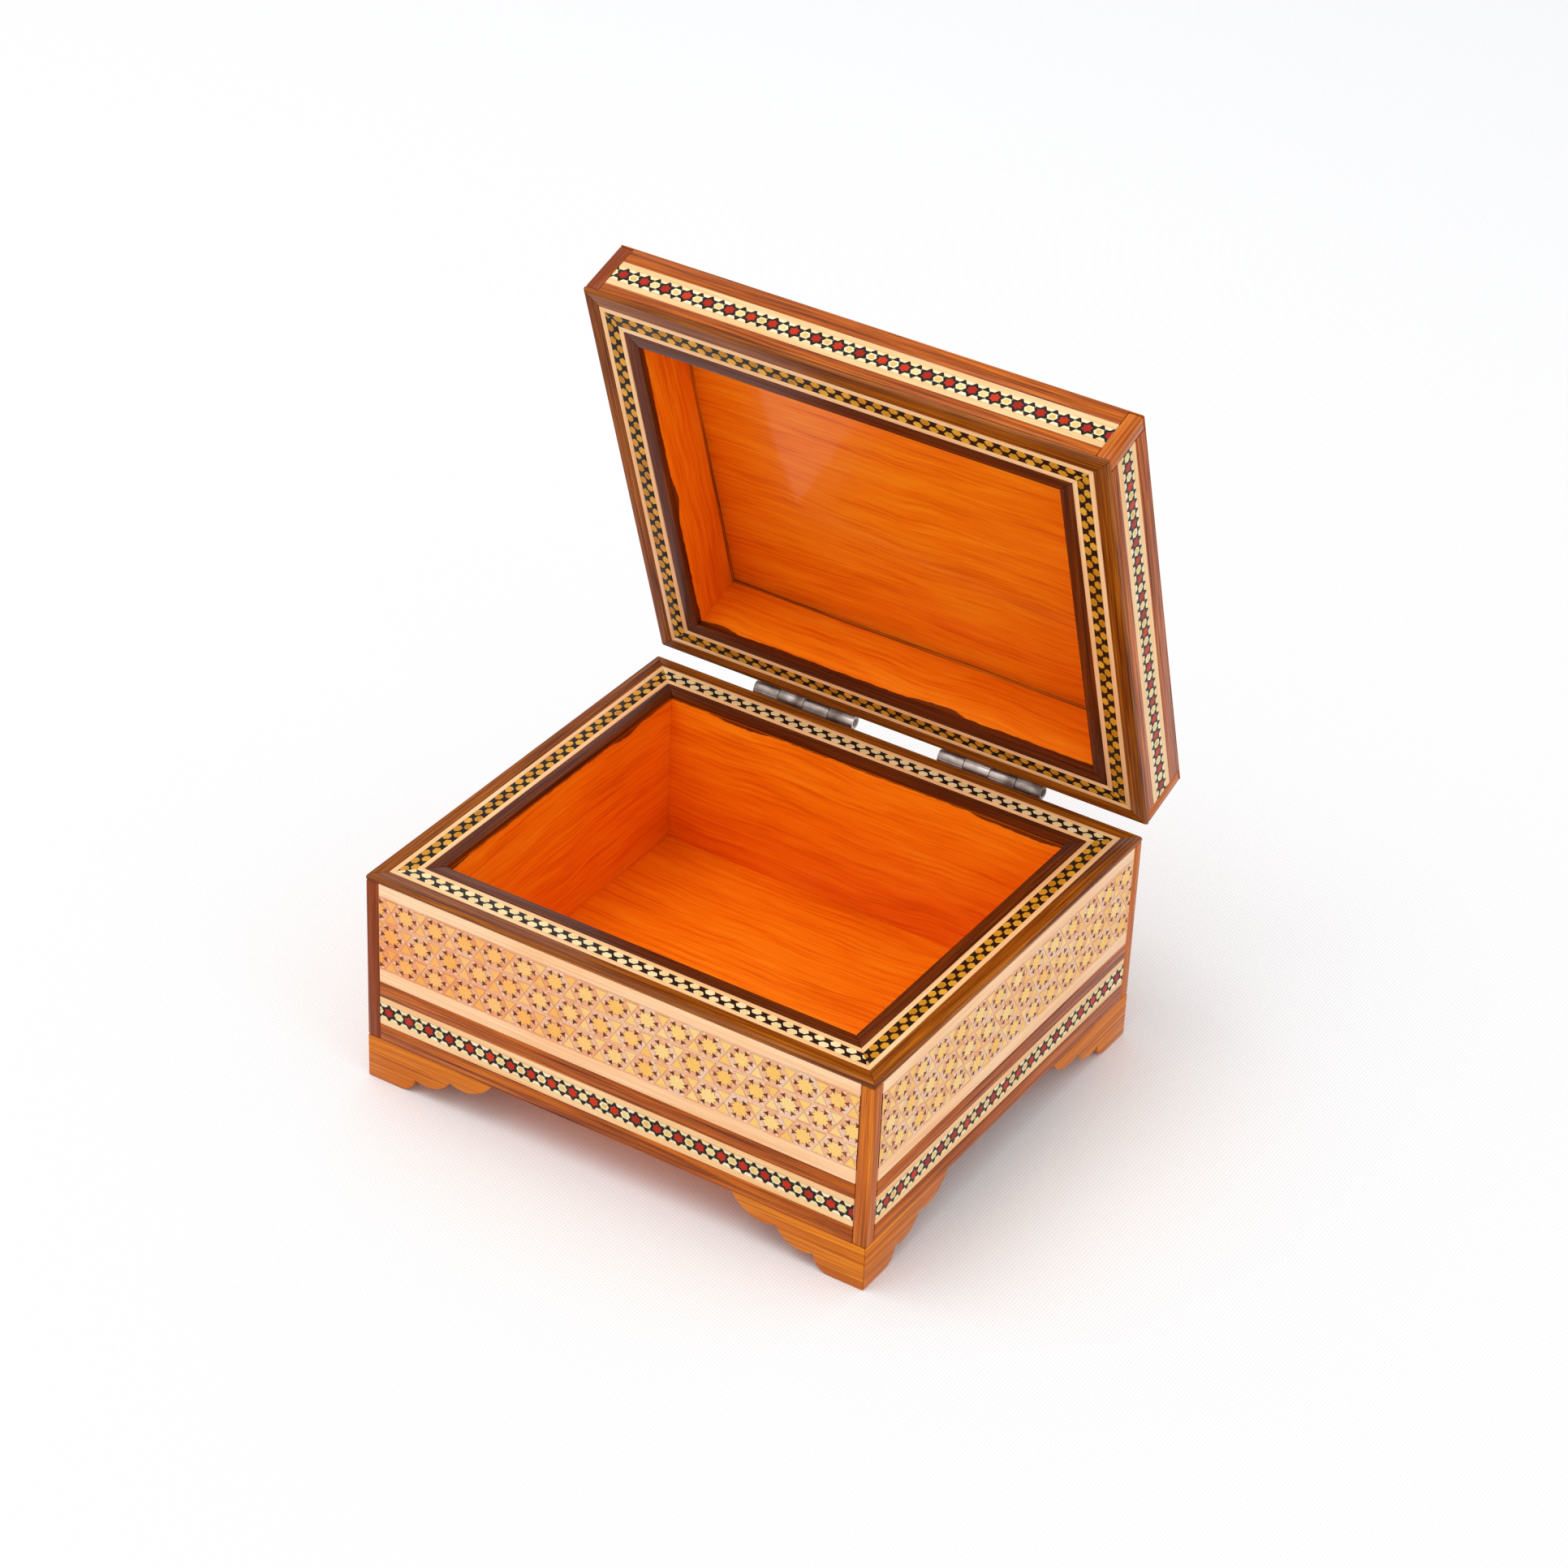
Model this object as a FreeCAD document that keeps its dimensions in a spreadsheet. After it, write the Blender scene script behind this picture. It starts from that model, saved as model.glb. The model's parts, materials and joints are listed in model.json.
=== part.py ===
import FreeCAD, Part
import Sketcher
import math
import os

# An inlaid wooden box on bracket feet. A carcass of boards is faced with thin strips and
# mosaic bands, its rim is a set of mitred rings, and the lid stands open on two butt hinges.
#
# Millimetres. +X runs along the long side, -Y is the front and +Z is up. Everything is drawn
# about the middle of the feet's plane. The lid is drawn closed and then turned about the
# hinge axis, so each lid part carries that turn in its Placement. Last, the whole box is set
# forward, so that the origin is under the middle of the box with its lid open.

SIZES = (
    ("length", 120.0, "outside of the case, left to right"),
    ("depth", 104.0, "outside of the case, front to back"),
    ("wall_thickness", 11.5, "board and facing together, which is the width of the rim"),
    ("facing_thickness", 1.2, "strips and bands glued on the boards"),
    ("post_size", 3.2, "square corner edging, let into the corner of the boards"),
    ("floor_thickness", 2.8, "bottom panel of the base"),
    ("base_lower_walnut", 4.0, "height of the strip just above the feet"),
    ("stringing_height", 1.5, "pale line on each side of a star band"),
    ("star_band_height", 3.8, "mosaic of stars"),
    ("base_middle_walnut", 3.7, "height of the walnut strip between the mosaics"),
    ("base_lower_maple", 3.2, "height of the pale strip under the rosettes"),
    ("rosette_panel_height", 17.8, "three rows of rosettes"),
    ("base_upper_maple", 2.9, "height of the pale strip under the rim"),
    ("rim_thickness", 1.2, "thickness of the rings laid on the edge of the base and the lid"),
    ("rim_outer_border", 3.4, "width of the walnut ring at the outside"),
    ("ring_stringing", 1.1, "width of a pale ring"),
    ("ring_zigzag", 2.8, "width of the zigzag mosaic ring"),
    ("rim_edge_radius", 0.8, "rounding of the rim's outside edge"),
    ("foot_height", 10.4, "feet, and the air under the floor"),
    ("foot_length", 31.0, "each bracket, along its side"),
    ("foot_thickness", 4.6, "each bracket, across"),
    ("foot_pad", 8.0, "flat length on the table"),
    ("foot_step_one", 11.8, "end of the first lobe, along the side"),
    ("foot_rise_one", 3.6, "end of the first lobe, above the table"),
    ("foot_step_two", 20.6, "end of the second lobe, along the side"),
    ("foot_rise_two", 6.6, "end of the second lobe, above the table"),
    ("lobe_roundness", 0.75, "radius of a lobe as a share of its chord"),
    ("lid_gap", 0.15, "air between the two rims when the lid is shut"),
    ("lid_edge_walnut", 2.4, "height of the walnut strip beside the lid's rim"),
    ("lid_upper_walnut", 3.7, "height of the walnut strip under the lid's bevel"),
    ("lid_edge_thickness", 0.4, "bevelled border at its outside edge"),
    ("lid_inside_depth", 15.0, "from the lid's rim to its ceiling"),
    ("lid_panel_thickness", 1.6, "ceiling panel"),
    ("field_thickness", 1.5, "mosaic on top of the ceiling panel"),
    ("lid_open_angle", 72.0, "degrees, as the lid stands in this model"),
    ("hinge_length", 25.0, "butt hinge, along its pin"),
    ("hinge_spacing", 46.0, "between the middles of the two hinges"),
    ("hinge_leaf_height", 9.0, "from the pin to the free edge of a leaf"),
    ("hinge_leaf_thickness", 0.8, "sheet steel"),
    ("knuckle_radius", 1.45, "outside of the barrel"),
    ("barrel_clearance", 0.15, "between the barrel and the back of the box"),
    ("knuckle_gap", 0.15, "between two knuckles, along the pin"),
    ("notch_clearance", 0.3, "between a leaf and the other leaf's knuckles"),
    ("pin_radius", 0.75, "hinge pin"),
    ("pin_clearance", 0.05, "between the pin and its bore, on the radius"),
    ("screw_from_pin", 6.0, "screws, away from the hinge pin"),
    ("screw_spacing", 16.0, "between the two screws of a leaf"),
    ("screw_shank_radius", 0.5, "countersunk wood screw"),
    ("screw_head_radius", 1.1, "at the outside of the leaf"),
    ("screw_head_height", 0.6, "cone of the countersunk head"),
    ("screw_length", 4.5, "whole screw"),
    ("screw_clearance", 0.05, "between a screw and its hole, on the radius"),
)
KNUCKLES_PER_HINGE = 4

doc = FreeCAD.newDocument("InlaidBox")
sheet = doc.addObject("Spreadsheet::Sheet", "Sizes")
for row, (alias, value, note) in enumerate(SIZES, start=1):
    sheet.set("A%d" % row, alias)
    sheet.set("B%d" % row, str(value))
    sheet.setAlias("B%d" % row, alias)
    sheet.set("C%d" % row, note)
doc.recompute()

ORIGIN = FreeCAD.Vector(0, 0, 0)
UP = FreeCAD.Vector(0, 0, 1)
# The whole box, which carries every part.
case = doc.addObject("App::Part", "InlaidBoxAssembly")
ALONG_X = FreeCAD.Rotation(FreeCAD.Vector(0, 1, 0), 90)
# Each side is drawn as the front and turned about the middle of the box by this angle.
TURN = {"front": 0, "right": 90, "back": 180, "left": 270}

parts = []


def sized(alias):
    """The expression that reads one size from the sheet."""
    return "Sizes." + alias


def total(*terms):
    """The expression that adds several expressions up."""
    return "(" + " + ".join(terms) + ")"


def less(whole, *terms):
    """The expression that takes the other terms away from the first."""
    return "(" + " - ".join((whole,) + terms) + ")"


def bind(obj, **expressions):
    """Tie properties of an object to expressions."""
    for name, expression in expressions.items():
        obj.setExpression(name, expression)
    return obj


def bind_base(obj, x, y, z):
    """Tie the place of an object to expressions."""
    for axis, expression in (("x", x), ("y", y), ("z", z)):
        obj.setExpression("Placement.Base." + axis, expression)
    return obj


# ---- levels and places that several parts share ----------------------------------------

def stacked(start, layers):
    """Low and high expression of each layer of a stack that starts at a level."""
    spans = []
    low = start
    for name, height in layers:
        high = total(low, sized(height))
        spans.append((name, low, high))
        low = high
    return spans


BASE_LAYERS = stacked(
    sized("foot_height"),
    (
        ("base_lower_walnut_strips", "base_lower_walnut"),
        ("base_lower_stringing", "stringing_height"),
        ("base_star_bands", "star_band_height"),
        ("base_upper_stringing", "stringing_height"),
        ("base_middle_walnut_strips", "base_middle_walnut"),
        ("base_lower_maple_strips", "base_lower_maple"),
        ("base_rosette_panels", "rosette_panel_height"),
        ("base_upper_maple_strips", "base_upper_maple"),
    ),
)
BASE_BOTTOM = sized("foot_height")
BASE_RIM_LOW = BASE_LAYERS[-1][2]
BASE_RIM_HIGH = total(BASE_RIM_LOW, sized("rim_thickness"))

LID_BOTTOM = total(BASE_RIM_HIGH, sized("lid_gap"))
LID_RIM_HIGH = total(LID_BOTTOM, sized("rim_thickness"))
LID_LAYERS = stacked(
    LID_RIM_HIGH,
    (
        ("lid_edge_walnut_strips", "lid_edge_walnut"),
        ("lid_lower_stringing", "stringing_height"),
        ("lid_star_bands", "star_band_height"),
        ("lid_upper_stringing", "stringing_height"),
        ("lid_upper_walnut_strips", "lid_upper_walnut"),
    ),
)
LID_SHOULDER = LID_LAYERS[-1][2]
LID_CEILING = total(LID_BOTTOM, sized("lid_inside_depth"))
LID_FIELD_LOW = total(LID_CEILING, sized("lid_panel_thickness"))
LID_TOP = total(LID_FIELD_LOW, sized("field_thickness"))

HINGE_Y = total(sized("depth") + " / 2", sized("knuckle_radius"), sized("barrel_clearance"))
HINGE_Z = total(BASE_RIM_HIGH, sized("lid_gap") + " / 2")

RIM_RINGS = (
    ("outer_border", sized("rim_outer_border")),
    ("outer_stringing", sized("ring_stringing")),
    ("zigzag", sized("ring_zigzag")),
    ("inner_stringing", sized("ring_stringing")),
)
RIM_RINGS_WIDTH = total(*(width for _, width in RIM_RINGS))


# ---- solids ----------------------------------------------------------------------------

def bar(name, side, outer, inner, low, high, ends=None, high_inside=None):
    """A piece along one side, between two distances in from the outside of the box.

    Its ends are mitred to the box's corners, or square at the distance that ends gives.
    Its top may slope from high, at the outside, to high_inside.
    """
    along, across = sized("length"), sized("depth")
    if side in ("left", "right"):
        along, across = across, along
    outer_end = less(along + " / 2", ends or outer)
    inner_end = less(along + " / 2", ends or inner)
    wedge = bind(
        doc.addObject("Part::Wedge", name + "_" + side),
        Xmin="-" + outer_end,
        Xmax=outer_end,
        X2min="-" + inner_end,
        X2max=inner_end,
        Ymin="-" + less(across + " / 2", outer),
        Ymax="-" + less(across + " / 2", inner),
        Zmin=low,
        Zmax=high,
        Z2min=low,
        Z2max=high_inside or high,
    )
    wedge.Placement = FreeCAD.Placement(ORIGIN, FreeCAD.Rotation(UP, TURN[side]))
    return wedge


def block(name, x_span, y_span, z_span):
    """A plain block between low and high expressions on each axis."""
    return bind(
        doc.addObject("Part::Wedge", name),
        Xmin=x_span[0],
        Xmax=x_span[1],
        X2min=x_span[0],
        X2max=x_span[1],
        Ymin=y_span[0],
        Ymax=y_span[1],
        Zmin=z_span[0],
        Zmax=z_span[1],
        Z2min=z_span[0],
        Z2max=z_span[1],
    )


def group(name, pieces):
    """Separate solids that share one part."""
    compound = doc.addObject("Part::Compound", name)
    compound.Links = pieces
    return compound


def without(name, base, tool):
    """One shape with another taken away."""
    cut = doc.addObject("Part::Cut", name)
    cut.Base = base
    cut.Tool = tool
    return cut


def joined(name, shapes):
    """Several shapes as one solid."""
    fuse = doc.addObject("Part::MultiFuse", name)
    fuse.Shapes = shapes
    fuse.Refine = True
    return fuse


def rod(name, radius, length, x, y, z):
    """A cylinder along +X from a point."""
    cylinder = bind(doc.addObject("Part::Cylinder", name), Radius=radius, Height=length)
    cylinder.Placement = FreeCAD.Placement(ORIGIN, ALONG_X)
    return bind_base(cylinder, x, y, z)


def finish_part(obj, name, on_lid=False):
    """Name a part, and turn it about the hinge axis if the lid carries it."""
    obj.Label = name
    if on_lid:
        turn = "rotation(vector(-1; 0; 0); %s)" % sized("lid_open_angle")
        centre = "vector(0; %s; %s)" % (HINGE_Y, HINGE_Z)
        obj.setExpression("Placement", "placement(vector(0; 0; 0); %s; %s)" % (turn, centre))
    case.addObject(obj)
    parts.append(obj)
    return obj


# ---- carcass ---------------------------------------------------------------------------

def corner_posts(name, low, high):
    """Four square edgings, one at each corner."""
    posts = []
    for x_name, x_sign in (("left", -1), ("right", 1)):
        for y_name, y_sign in (("front", -1), ("back", 1)):
            spans = []
            for size, sign in (("length", x_sign), ("depth", y_sign)):
                edge = sized(size) + " / 2"
                inside = less(edge, sized("post_size"))
                spans.append(("-" + edge, "-" + inside) if sign < 0 else (inside, edge))
            posts.append(block("%s_%s_%s" % (name, y_name, x_name), spans[0], spans[1], (low, high)))
    return group(name, posts)


def carcass_board(name, side, low, high, posts):
    """A front or back board runs over the ends of the other two, with notches for the posts."""
    ends = sized("facing_thickness") if side in ("front", "back") else sized("wall_thickness")
    board = bar(name, side, sized("facing_thickness"), sized("wall_thickness"), low, high, ends)
    return without(name + "_notched", board, posts)


def inner_panel(name, low, high):
    """A panel that fills the space between the four boards."""
    half_x = less(sized("length") + " / 2", sized("wall_thickness"))
    half_y = less(sized("depth") + " / 2", sized("wall_thickness"))
    return block(name, ("-" + half_x, half_x), ("-" + half_y, half_y), (low, high))


def facing_strips(name, low, high):
    """Four thin strips, each butted between two corner posts."""
    post = sized("post_size")
    return group(
        name,
        [bar(name, side, "0", sized("facing_thickness"), low, high, post) for side in TURN],
    )


def mitred_ring(name, outer, inner, low, high, high_inside=None):
    """Four bars mitred into a ring."""
    bars = [bar(name, side, outer, inner, low, high, None, high_inside) for side in TURN]
    return group(name, bars)


def rounded_ring(name, outer, inner, low, high, round_high):
    """A mitred ring whose outside edge is rounded, at its high or its low face."""
    bars = [bar(name, side, outer, inner, low, high) for side in TURN]
    doc.recompute()
    rounded = []
    for plain in bars:
        level = plain.Zmax.Value if round_high else plain.Zmin.Value
        turned_back = plain.Placement.inverse()
        for number, edge in enumerate(plain.Shape.Edges, start=1):
            middle = turned_back.multVec(edge.CenterOfMass)
            on_face = math.isclose(middle.y, plain.Ymin.Value, abs_tol=1e-6)
            if on_face and math.isclose(middle.z, level, abs_tol=1e-6):
                chosen = number
        fillet = doc.addObject("Part::Fillet", plain.Name + "_rounded")
        fillet.Base = plain
        radius = sheet.rim_edge_radius
        fillet.Edges = [(chosen, radius, radius)]
        rounded.append(fillet)
    return group(name, rounded)


def rim(prefix, low, high, round_high, on_lid):
    """The rings on the edge of the base or the lid, from the outside in."""
    outer = "0"
    for ring_name, width in RIM_RINGS:
        inner = total(outer, width)
        name = prefix + "_rim_" + ring_name
        if ring_name == "outer_border":
            ring = rounded_ring(name, outer, inner, low, high, round_high)
        else:
            ring = mitred_ring(name, outer, inner, low, high)
        finish_part(ring, name, on_lid)
        outer = inner
    name = prefix + "_rim_inner_border"
    finish_part(mitred_ring(name, outer, sized("wall_thickness"), low, high), name, on_lid)


# ---- feet ------------------------------------------------------------------------------

def origin_plane(body, role):
    """One of a body's own origin planes."""
    for feature in body.Origin.OriginFeatures:
        if feature.Role == role:
            return feature
    raise ValueError("no plane " + role)


def lobe_arc(start, end, hand):
    """An arc that bulges down and outwards between two points of the foot's outline.

    It is given in its counter-clockwise sense, which a sketch needs.
    """
    chord = end - start
    radius = sheet.lobe_roundness * chord.Length
    rise = math.sqrt(radius**2 - chord.Length**2 / 4)
    upward = FreeCAD.Vector(-chord.y, chord.x, 0) * (hand / chord.Length)
    centre = (start + end) / 2 + upward * rise
    middle = centre - upward * radius
    return Part.Arc(start, middle, end) if hand > 0 else Part.Arc(end, middle, start)


def end_numbers(sketch, number, start):
    """The sketch's numbers for the ends of an edge, the one nearer to a point first."""
    edge = sketch.Geometry[number]
    if edge.StartPoint.distanceToPoint(start) < edge.EndPoint.distanceToPoint(start):
        return 1, 2
    return 2, 1


def closed_outline(body, name, plane_role, corners, hand, lobes=()):
    """A closed sketch through corners whose places are aliases of the sheet, or None for 0.

    The edges that leave the corners listed in lobes are arcs. Hand -1 mirrors the outline.
    """
    sketch = body.newObject("Sketcher::SketchObject", name)
    sketch.AttachmentSupport = (origin_plane(body, plane_role), "")
    sketch.MapMode = "FlatFace"
    points = []
    for run, rise in corners:
        run_value = sheet.get(run) if run else 0
        rise_value = sheet.get(rise) if rise else 0
        points.append(FreeCAD.Vector(hand * run_value, rise_value, 0))
    after = points[1:] + points[:1]
    for number, (start, end) in enumerate(zip(points, after)):
        arc = number in lobes
        sketch.addGeometry(lobe_arc(start, end, hand) if arc else Part.LineSegment(start, end))
    ends = [end_numbers(sketch, number, start) for number, start in enumerate(points)]
    for number, (run, rise) in enumerate(corners):
        previous = number - 1 if number else len(corners) - 1
        here = (number, ends[number][0])
        sketch.addConstraint(Sketcher.Constraint("Coincident", previous, ends[previous][1], *here))
        tie_point(sketch, here, points[number], run, rise, hand)
        if number in lobes:
            tie_radius(sketch, number, corners[number], corners[number + 1])
    return sketch


def tie_point(sketch, here, point, run, rise, hand):
    """Hold one corner of a sketch at its run and rise from the sketch's origin."""
    middle = (-1, 1)
    for kind, alias, value, axis, sign in (
        ("DistanceX", run, point.x, -2, hand),
        ("DistanceY", rise, point.y, -1, 1),
    ):
        if alias is None:
            sketch.addConstraint(Sketcher.Constraint("PointOnObject", *here, axis))
            continue
        ends = middle + here if sign > 0 else here + middle
        number = sketch.addConstraint(Sketcher.Constraint(kind, *ends, abs(value)))
        sketch.setExpression("Constraints[%d]" % number, sized(alias))


def tie_radius(sketch, number, start, end):
    """Give an arc a radius that follows the chord between two corners."""
    run = less(sized(end[0]), sized(start[0]))
    rise = less(sized(end[1]), sized(start[1]) if start[1] else "0")
    radius = sketch.Geometry[number].Radius
    constraint = sketch.addConstraint(Sketcher.Constraint("Radius", number, radius))
    chord = "sqrt(%s ^ 2 + %s ^ 2)" % (run, rise)
    sketch.setExpression("Constraints[%d]" % constraint, sized("lobe_roundness") + " * " + chord)


FOOT_OUTLINE = (
    (None, None),
    ("foot_pad", None),
    ("foot_step_one", "foot_rise_one"),
    ("foot_step_two", "foot_rise_two"),
    ("foot_length", "foot_height"),
    (None, "foot_height"),
)
FOOT_LOBES = (1, 2, 3)
MITRE_OUTLINE = (
    (None, None),
    ("foot_thickness", "foot_thickness"),
    (None, "foot_thickness"),
)


def foot_bracket(name, hand, turn, x_sign, y_sign):
    """A bracket with three lobes and a mitred end, at a corner of the box.

    It runs along +X from the corner for hand 1 and along -X for hand -1, before its turn.
    """
    body = doc.addObject("PartDesign::Body", name)
    pad = body.newObject("PartDesign::Pad", name + "_pad")
    pad.Profile = closed_outline(body, name + "_outline", "XZ_Plane", FOOT_OUTLINE, hand, FOOT_LOBES)
    pad.Reversed = True
    bind(pad, Length=sized("foot_thickness"))
    mitre = body.newObject("PartDesign::Pocket", name + "_mitre")
    mitre.Profile = closed_outline(body, name + "_mitre_outline", "XY_Plane", MITRE_OUTLINE, hand)
    mitre.Type = "ThroughAll"
    mitre.Reversed = True
    body.Placement = FreeCAD.Placement(ORIGIN, FreeCAD.Rotation(UP, turn))
    x = "%d * %s / 2" % (x_sign, sized("length"))
    y = "%d * %s / 2" % (y_sign, sized("depth"))
    bind_base(body, x, y, "0")
    return finish_part(body, name)


# ---- hinges ----------------------------------------------------------------------------

BACK_Y = sized("depth") + " / 2"
LEAF_BACK_Y = total(BACK_Y, sized("hinge_leaf_thickness"))
HINGES = (
    ("left", "-" + sized("hinge_spacing") + " / 2"),
    ("right", sized("hinge_spacing") + " / 2"),
)
# The base's leaves hang below the pin and the lid's stand above it, while the lid is shut.
LEAF_SIDE = {"base": "-", "lid": "+"}
OUTWARDS = FreeCAD.Rotation(FreeCAD.Vector(1, 0, 0), -90)


def from_pin(body_name, distance):
    """The height at a distance from the pin, on the side where this body's leaves are."""
    return "(%s %s %s)" % (HINGE_Z, LEAF_SIDE[body_name], distance)


def height_span(body_name, near, far):
    """Low and high expression between two distances from the pin."""
    span = (from_pin(body_name, near), from_pin(body_name, far))
    return span if body_name == "lid" else span[::-1]


def screw(name, body_name, x, clearance):
    """A countersunk screw through a leaf, or the hole for it where clearance isn't 0."""
    z = from_pin(body_name, sized("screw_from_pin"))
    head = bind(
        doc.addObject("Part::Cone", name + "_head"),
        Radius1=total(sized("screw_shank_radius"), clearance),
        Radius2=total(sized("screw_head_radius"), clearance),
        Height=sized("screw_head_height"),
    )
    head.Placement = FreeCAD.Placement(ORIGIN, OUTWARDS)
    bind_base(head, x, less(LEAF_BACK_Y, sized("screw_head_height")), z)
    shank = bind(
        doc.addObject("Part::Cylinder", name + "_shank"),
        Radius=total(sized("screw_shank_radius"), clearance),
        Height=total(less(sized("screw_length"), sized("screw_head_height")), clearance),
    )
    shank.Placement = FreeCAD.Placement(ORIGIN, OUTWARDS)
    bind_base(shank, x, less(LEAF_BACK_Y, sized("screw_length"), clearance), z)
    return joined(name, [head, shank])


def hinge_screws(name, body_name, clearance):
    """Both screws of both leaves on one body, or their holes."""
    screws = []
    for hinge_name, centre in HINGES:
        for end_name, sign in (("outer", "-"), ("inner", "+")):
            x = "%s %s %s / 2" % (centre, sign, sized("screw_spacing"))
            screws.append(screw("%s_%s_%s" % (name, hinge_name, end_name), body_name, x, clearance))
    return group(name, screws)


def hinge_leaf(body_name, hinge_name, centre, screw_holes):
    """A flat leaf with every second knuckle of its hinge."""
    name = "%s_hinge_leaf_%s" % (body_name, hinge_name)
    start = "%s - %s / 2" % (centre, sized("hinge_length"))
    finish = "%s + %s / 2" % (centre, sized("hinge_length"))
    leaf_y = (BACK_Y, LEAF_BACK_Y)
    notch = total(sized("knuckle_radius"), sized("notch_clearance"))
    shapes = [
        block(
            name + "_plate",
            (start, finish),
            leaf_y,
            height_span(body_name, notch, sized("hinge_leaf_height")),
        )
    ]
    pitch = "%s / %d" % (sized("hinge_length"), KNUCKLES_PER_HINGE)
    first = 0 if body_name == "base" else 1
    for number in range(first, KNUCKLES_PER_HINGE, 2):
        low = "%s + %d * %s + %s / 2" % (start, number, pitch, sized("knuckle_gap"))
        high = "%s + %d * %s - %s / 2" % (start, number + 1, pitch, sized("knuckle_gap"))
        web_z = height_span(body_name, "0", notch)
        shapes.append(block("%s_web_%d" % (name, number), (low, high), leaf_y, web_z))
        length = "%s - %s" % (pitch, sized("knuckle_gap"))
        knuckle = rod(
            "%s_knuckle_%d" % (name, number), sized("knuckle_radius"), length, low, HINGE_Y, HINGE_Z
        )
        shapes.append(knuckle)
    bore_radius = total(sized("pin_radius"), sized("pin_clearance"))
    bore = rod(name + "_bore", bore_radius, sized("hinge_length"), start, HINGE_Y, HINGE_Z)
    rolled = without(name + "_rolled", joined(name + "_blank", shapes), bore)
    return finish_part(without(name + "_drilled", rolled, screw_holes), name, body_name == "lid")


def hinge_pin(hinge_name, centre):
    """The pin through all the knuckles of a hinge."""
    name = "hinge_pin_" + hinge_name
    start = "%s - %s / 2" % (centre, sized("hinge_length"))
    pin = rod(name, sized("pin_radius"), sized("hinge_length"), start, HINGE_Y, HINGE_Z)
    return finish_part(pin, name)


# ---- the box ---------------------------------------------------------------------------

def build_carcass(prefix, low, high, screw_holes, on_lid):
    """Corner posts and boards of the base or the lid."""
    posts = corner_posts(prefix + "_corner_posts", low, high)
    finish_part(posts, prefix + "_corner_posts", on_lid)
    if on_lid:
        posts = corner_posts(prefix + "_post_notches", low, high)
    for side in TURN:
        name = "%s_%s_board" % (prefix, side)
        board = carcass_board(name + "_blank", side, low, high, posts)
        if side == "back":
            board = without(name + "_drilled", board, screw_holes)
        finish_part(board, name, on_lid)


def build_facings(layers, screw_holes, on_lid):
    """The strips and bands on the four sides, drilled where a hinge screw passes."""
    for name, low, high in layers:
        strips = facing_strips(name + "_whole", low, high)
        finish_part(without(name, strips, screw_holes), name, on_lid)


def build_base():
    """Everything that stands still."""
    screw_holes = hinge_screws("base_screw_holes", "base", sized("screw_clearance"))
    build_carcass("base", BASE_BOTTOM, BASE_RIM_LOW, screw_holes, False)
    floor_top = total(BASE_BOTTOM, sized("floor_thickness"))
    finish_part(inner_panel("base_floor", BASE_BOTTOM, floor_top), "base_floor")
    build_facings(BASE_LAYERS, screw_holes, False)
    rim("base", BASE_RIM_LOW, BASE_RIM_HIGH, True, False)
    for name, hand, turn, x_sign, y_sign in (
        ("foot_front_left", 1, 0, -1, -1),
        ("foot_front_right", -1, 0, 1, -1),
        ("foot_right_front", 1, 90, 1, -1),
        ("foot_right_back", -1, 90, 1, 1),
        ("foot_back_right", 1, 180, 1, 1),
        ("foot_back_left", -1, 180, -1, 1),
        ("foot_left_back", 1, 270, -1, 1),
        ("foot_left_front", -1, 270, -1, -1),
    ):
        foot_bracket(name, hand, turn, x_sign, y_sign)
    for hinge_name, centre in HINGES:
        hinge_leaf("base", hinge_name, centre, screw_holes)
        hinge_pin(hinge_name, centre)
    finish_part(hinge_screws("base_hinge_screws", "base", "0"), "base_hinge_screws")


def build_lid():
    """Everything that turns about the hinge pins."""
    screw_holes = hinge_screws("lid_screw_holes", "lid", sized("screw_clearance"))
    rim("lid", LID_BOTTOM, LID_RIM_HIGH, False, True)
    build_carcass("lid", LID_RIM_HIGH, LID_SHOULDER, screw_holes, True)
    build_facings(LID_LAYERS, screw_holes, True)
    edge_top = total(LID_SHOULDER, sized("lid_edge_thickness"))
    bevel = mitred_ring(
        "lid_bevel_border", "0", sized("wall_thickness"), LID_SHOULDER, edge_top, LID_TOP
    )
    finish_part(bevel, "lid_bevel_border", True)
    panel = inner_panel("lid_ceiling_panel", LID_CEILING, LID_FIELD_LOW)
    finish_part(panel, "lid_ceiling_panel", True)
    outer = sized("wall_thickness")
    for ring_name, width in RIM_RINGS[1:]:
        inner = total(outer, width)
        name = "lid_top_" + ring_name
        finish_part(mitred_ring(name, outer, inner, LID_FIELD_LOW, LID_TOP), name, True)
        outer = inner
    half_x = less(sized("length") + " / 2", outer)
    half_y = less(sized("depth") + " / 2", outer)
    name = "lid_top_rosette_field"
    field = block(name, ("-" + half_x, half_x), ("-" + half_y, half_y), (LID_FIELD_LOW, LID_TOP))
    finish_part(field, name, True)
    for hinge_name, centre in HINGES:
        hinge_leaf("lid", hinge_name, centre, screw_holes)
    finish_part(hinge_screws("lid_hinge_screws", "lid", "0"), "lid_hinge_screws", True)


def centre_box():
    """Set the box forward by half of what the open lid reaches out behind the case."""
    bevel_foot = total(LID_SHOULDER, sized("lid_edge_thickness"))
    reach = total(
        HINGE_Y,
        "%s * cos(%s)" % (less(BACK_Y, HINGE_Y), sized("lid_open_angle")),
        "%s * sin(%s)" % (less(bevel_foot, HINGE_Z), sized("lid_open_angle")),
    )
    case.setExpression("Placement.Base.y", "-" + less(reach, BACK_Y) + " / 2")


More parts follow.
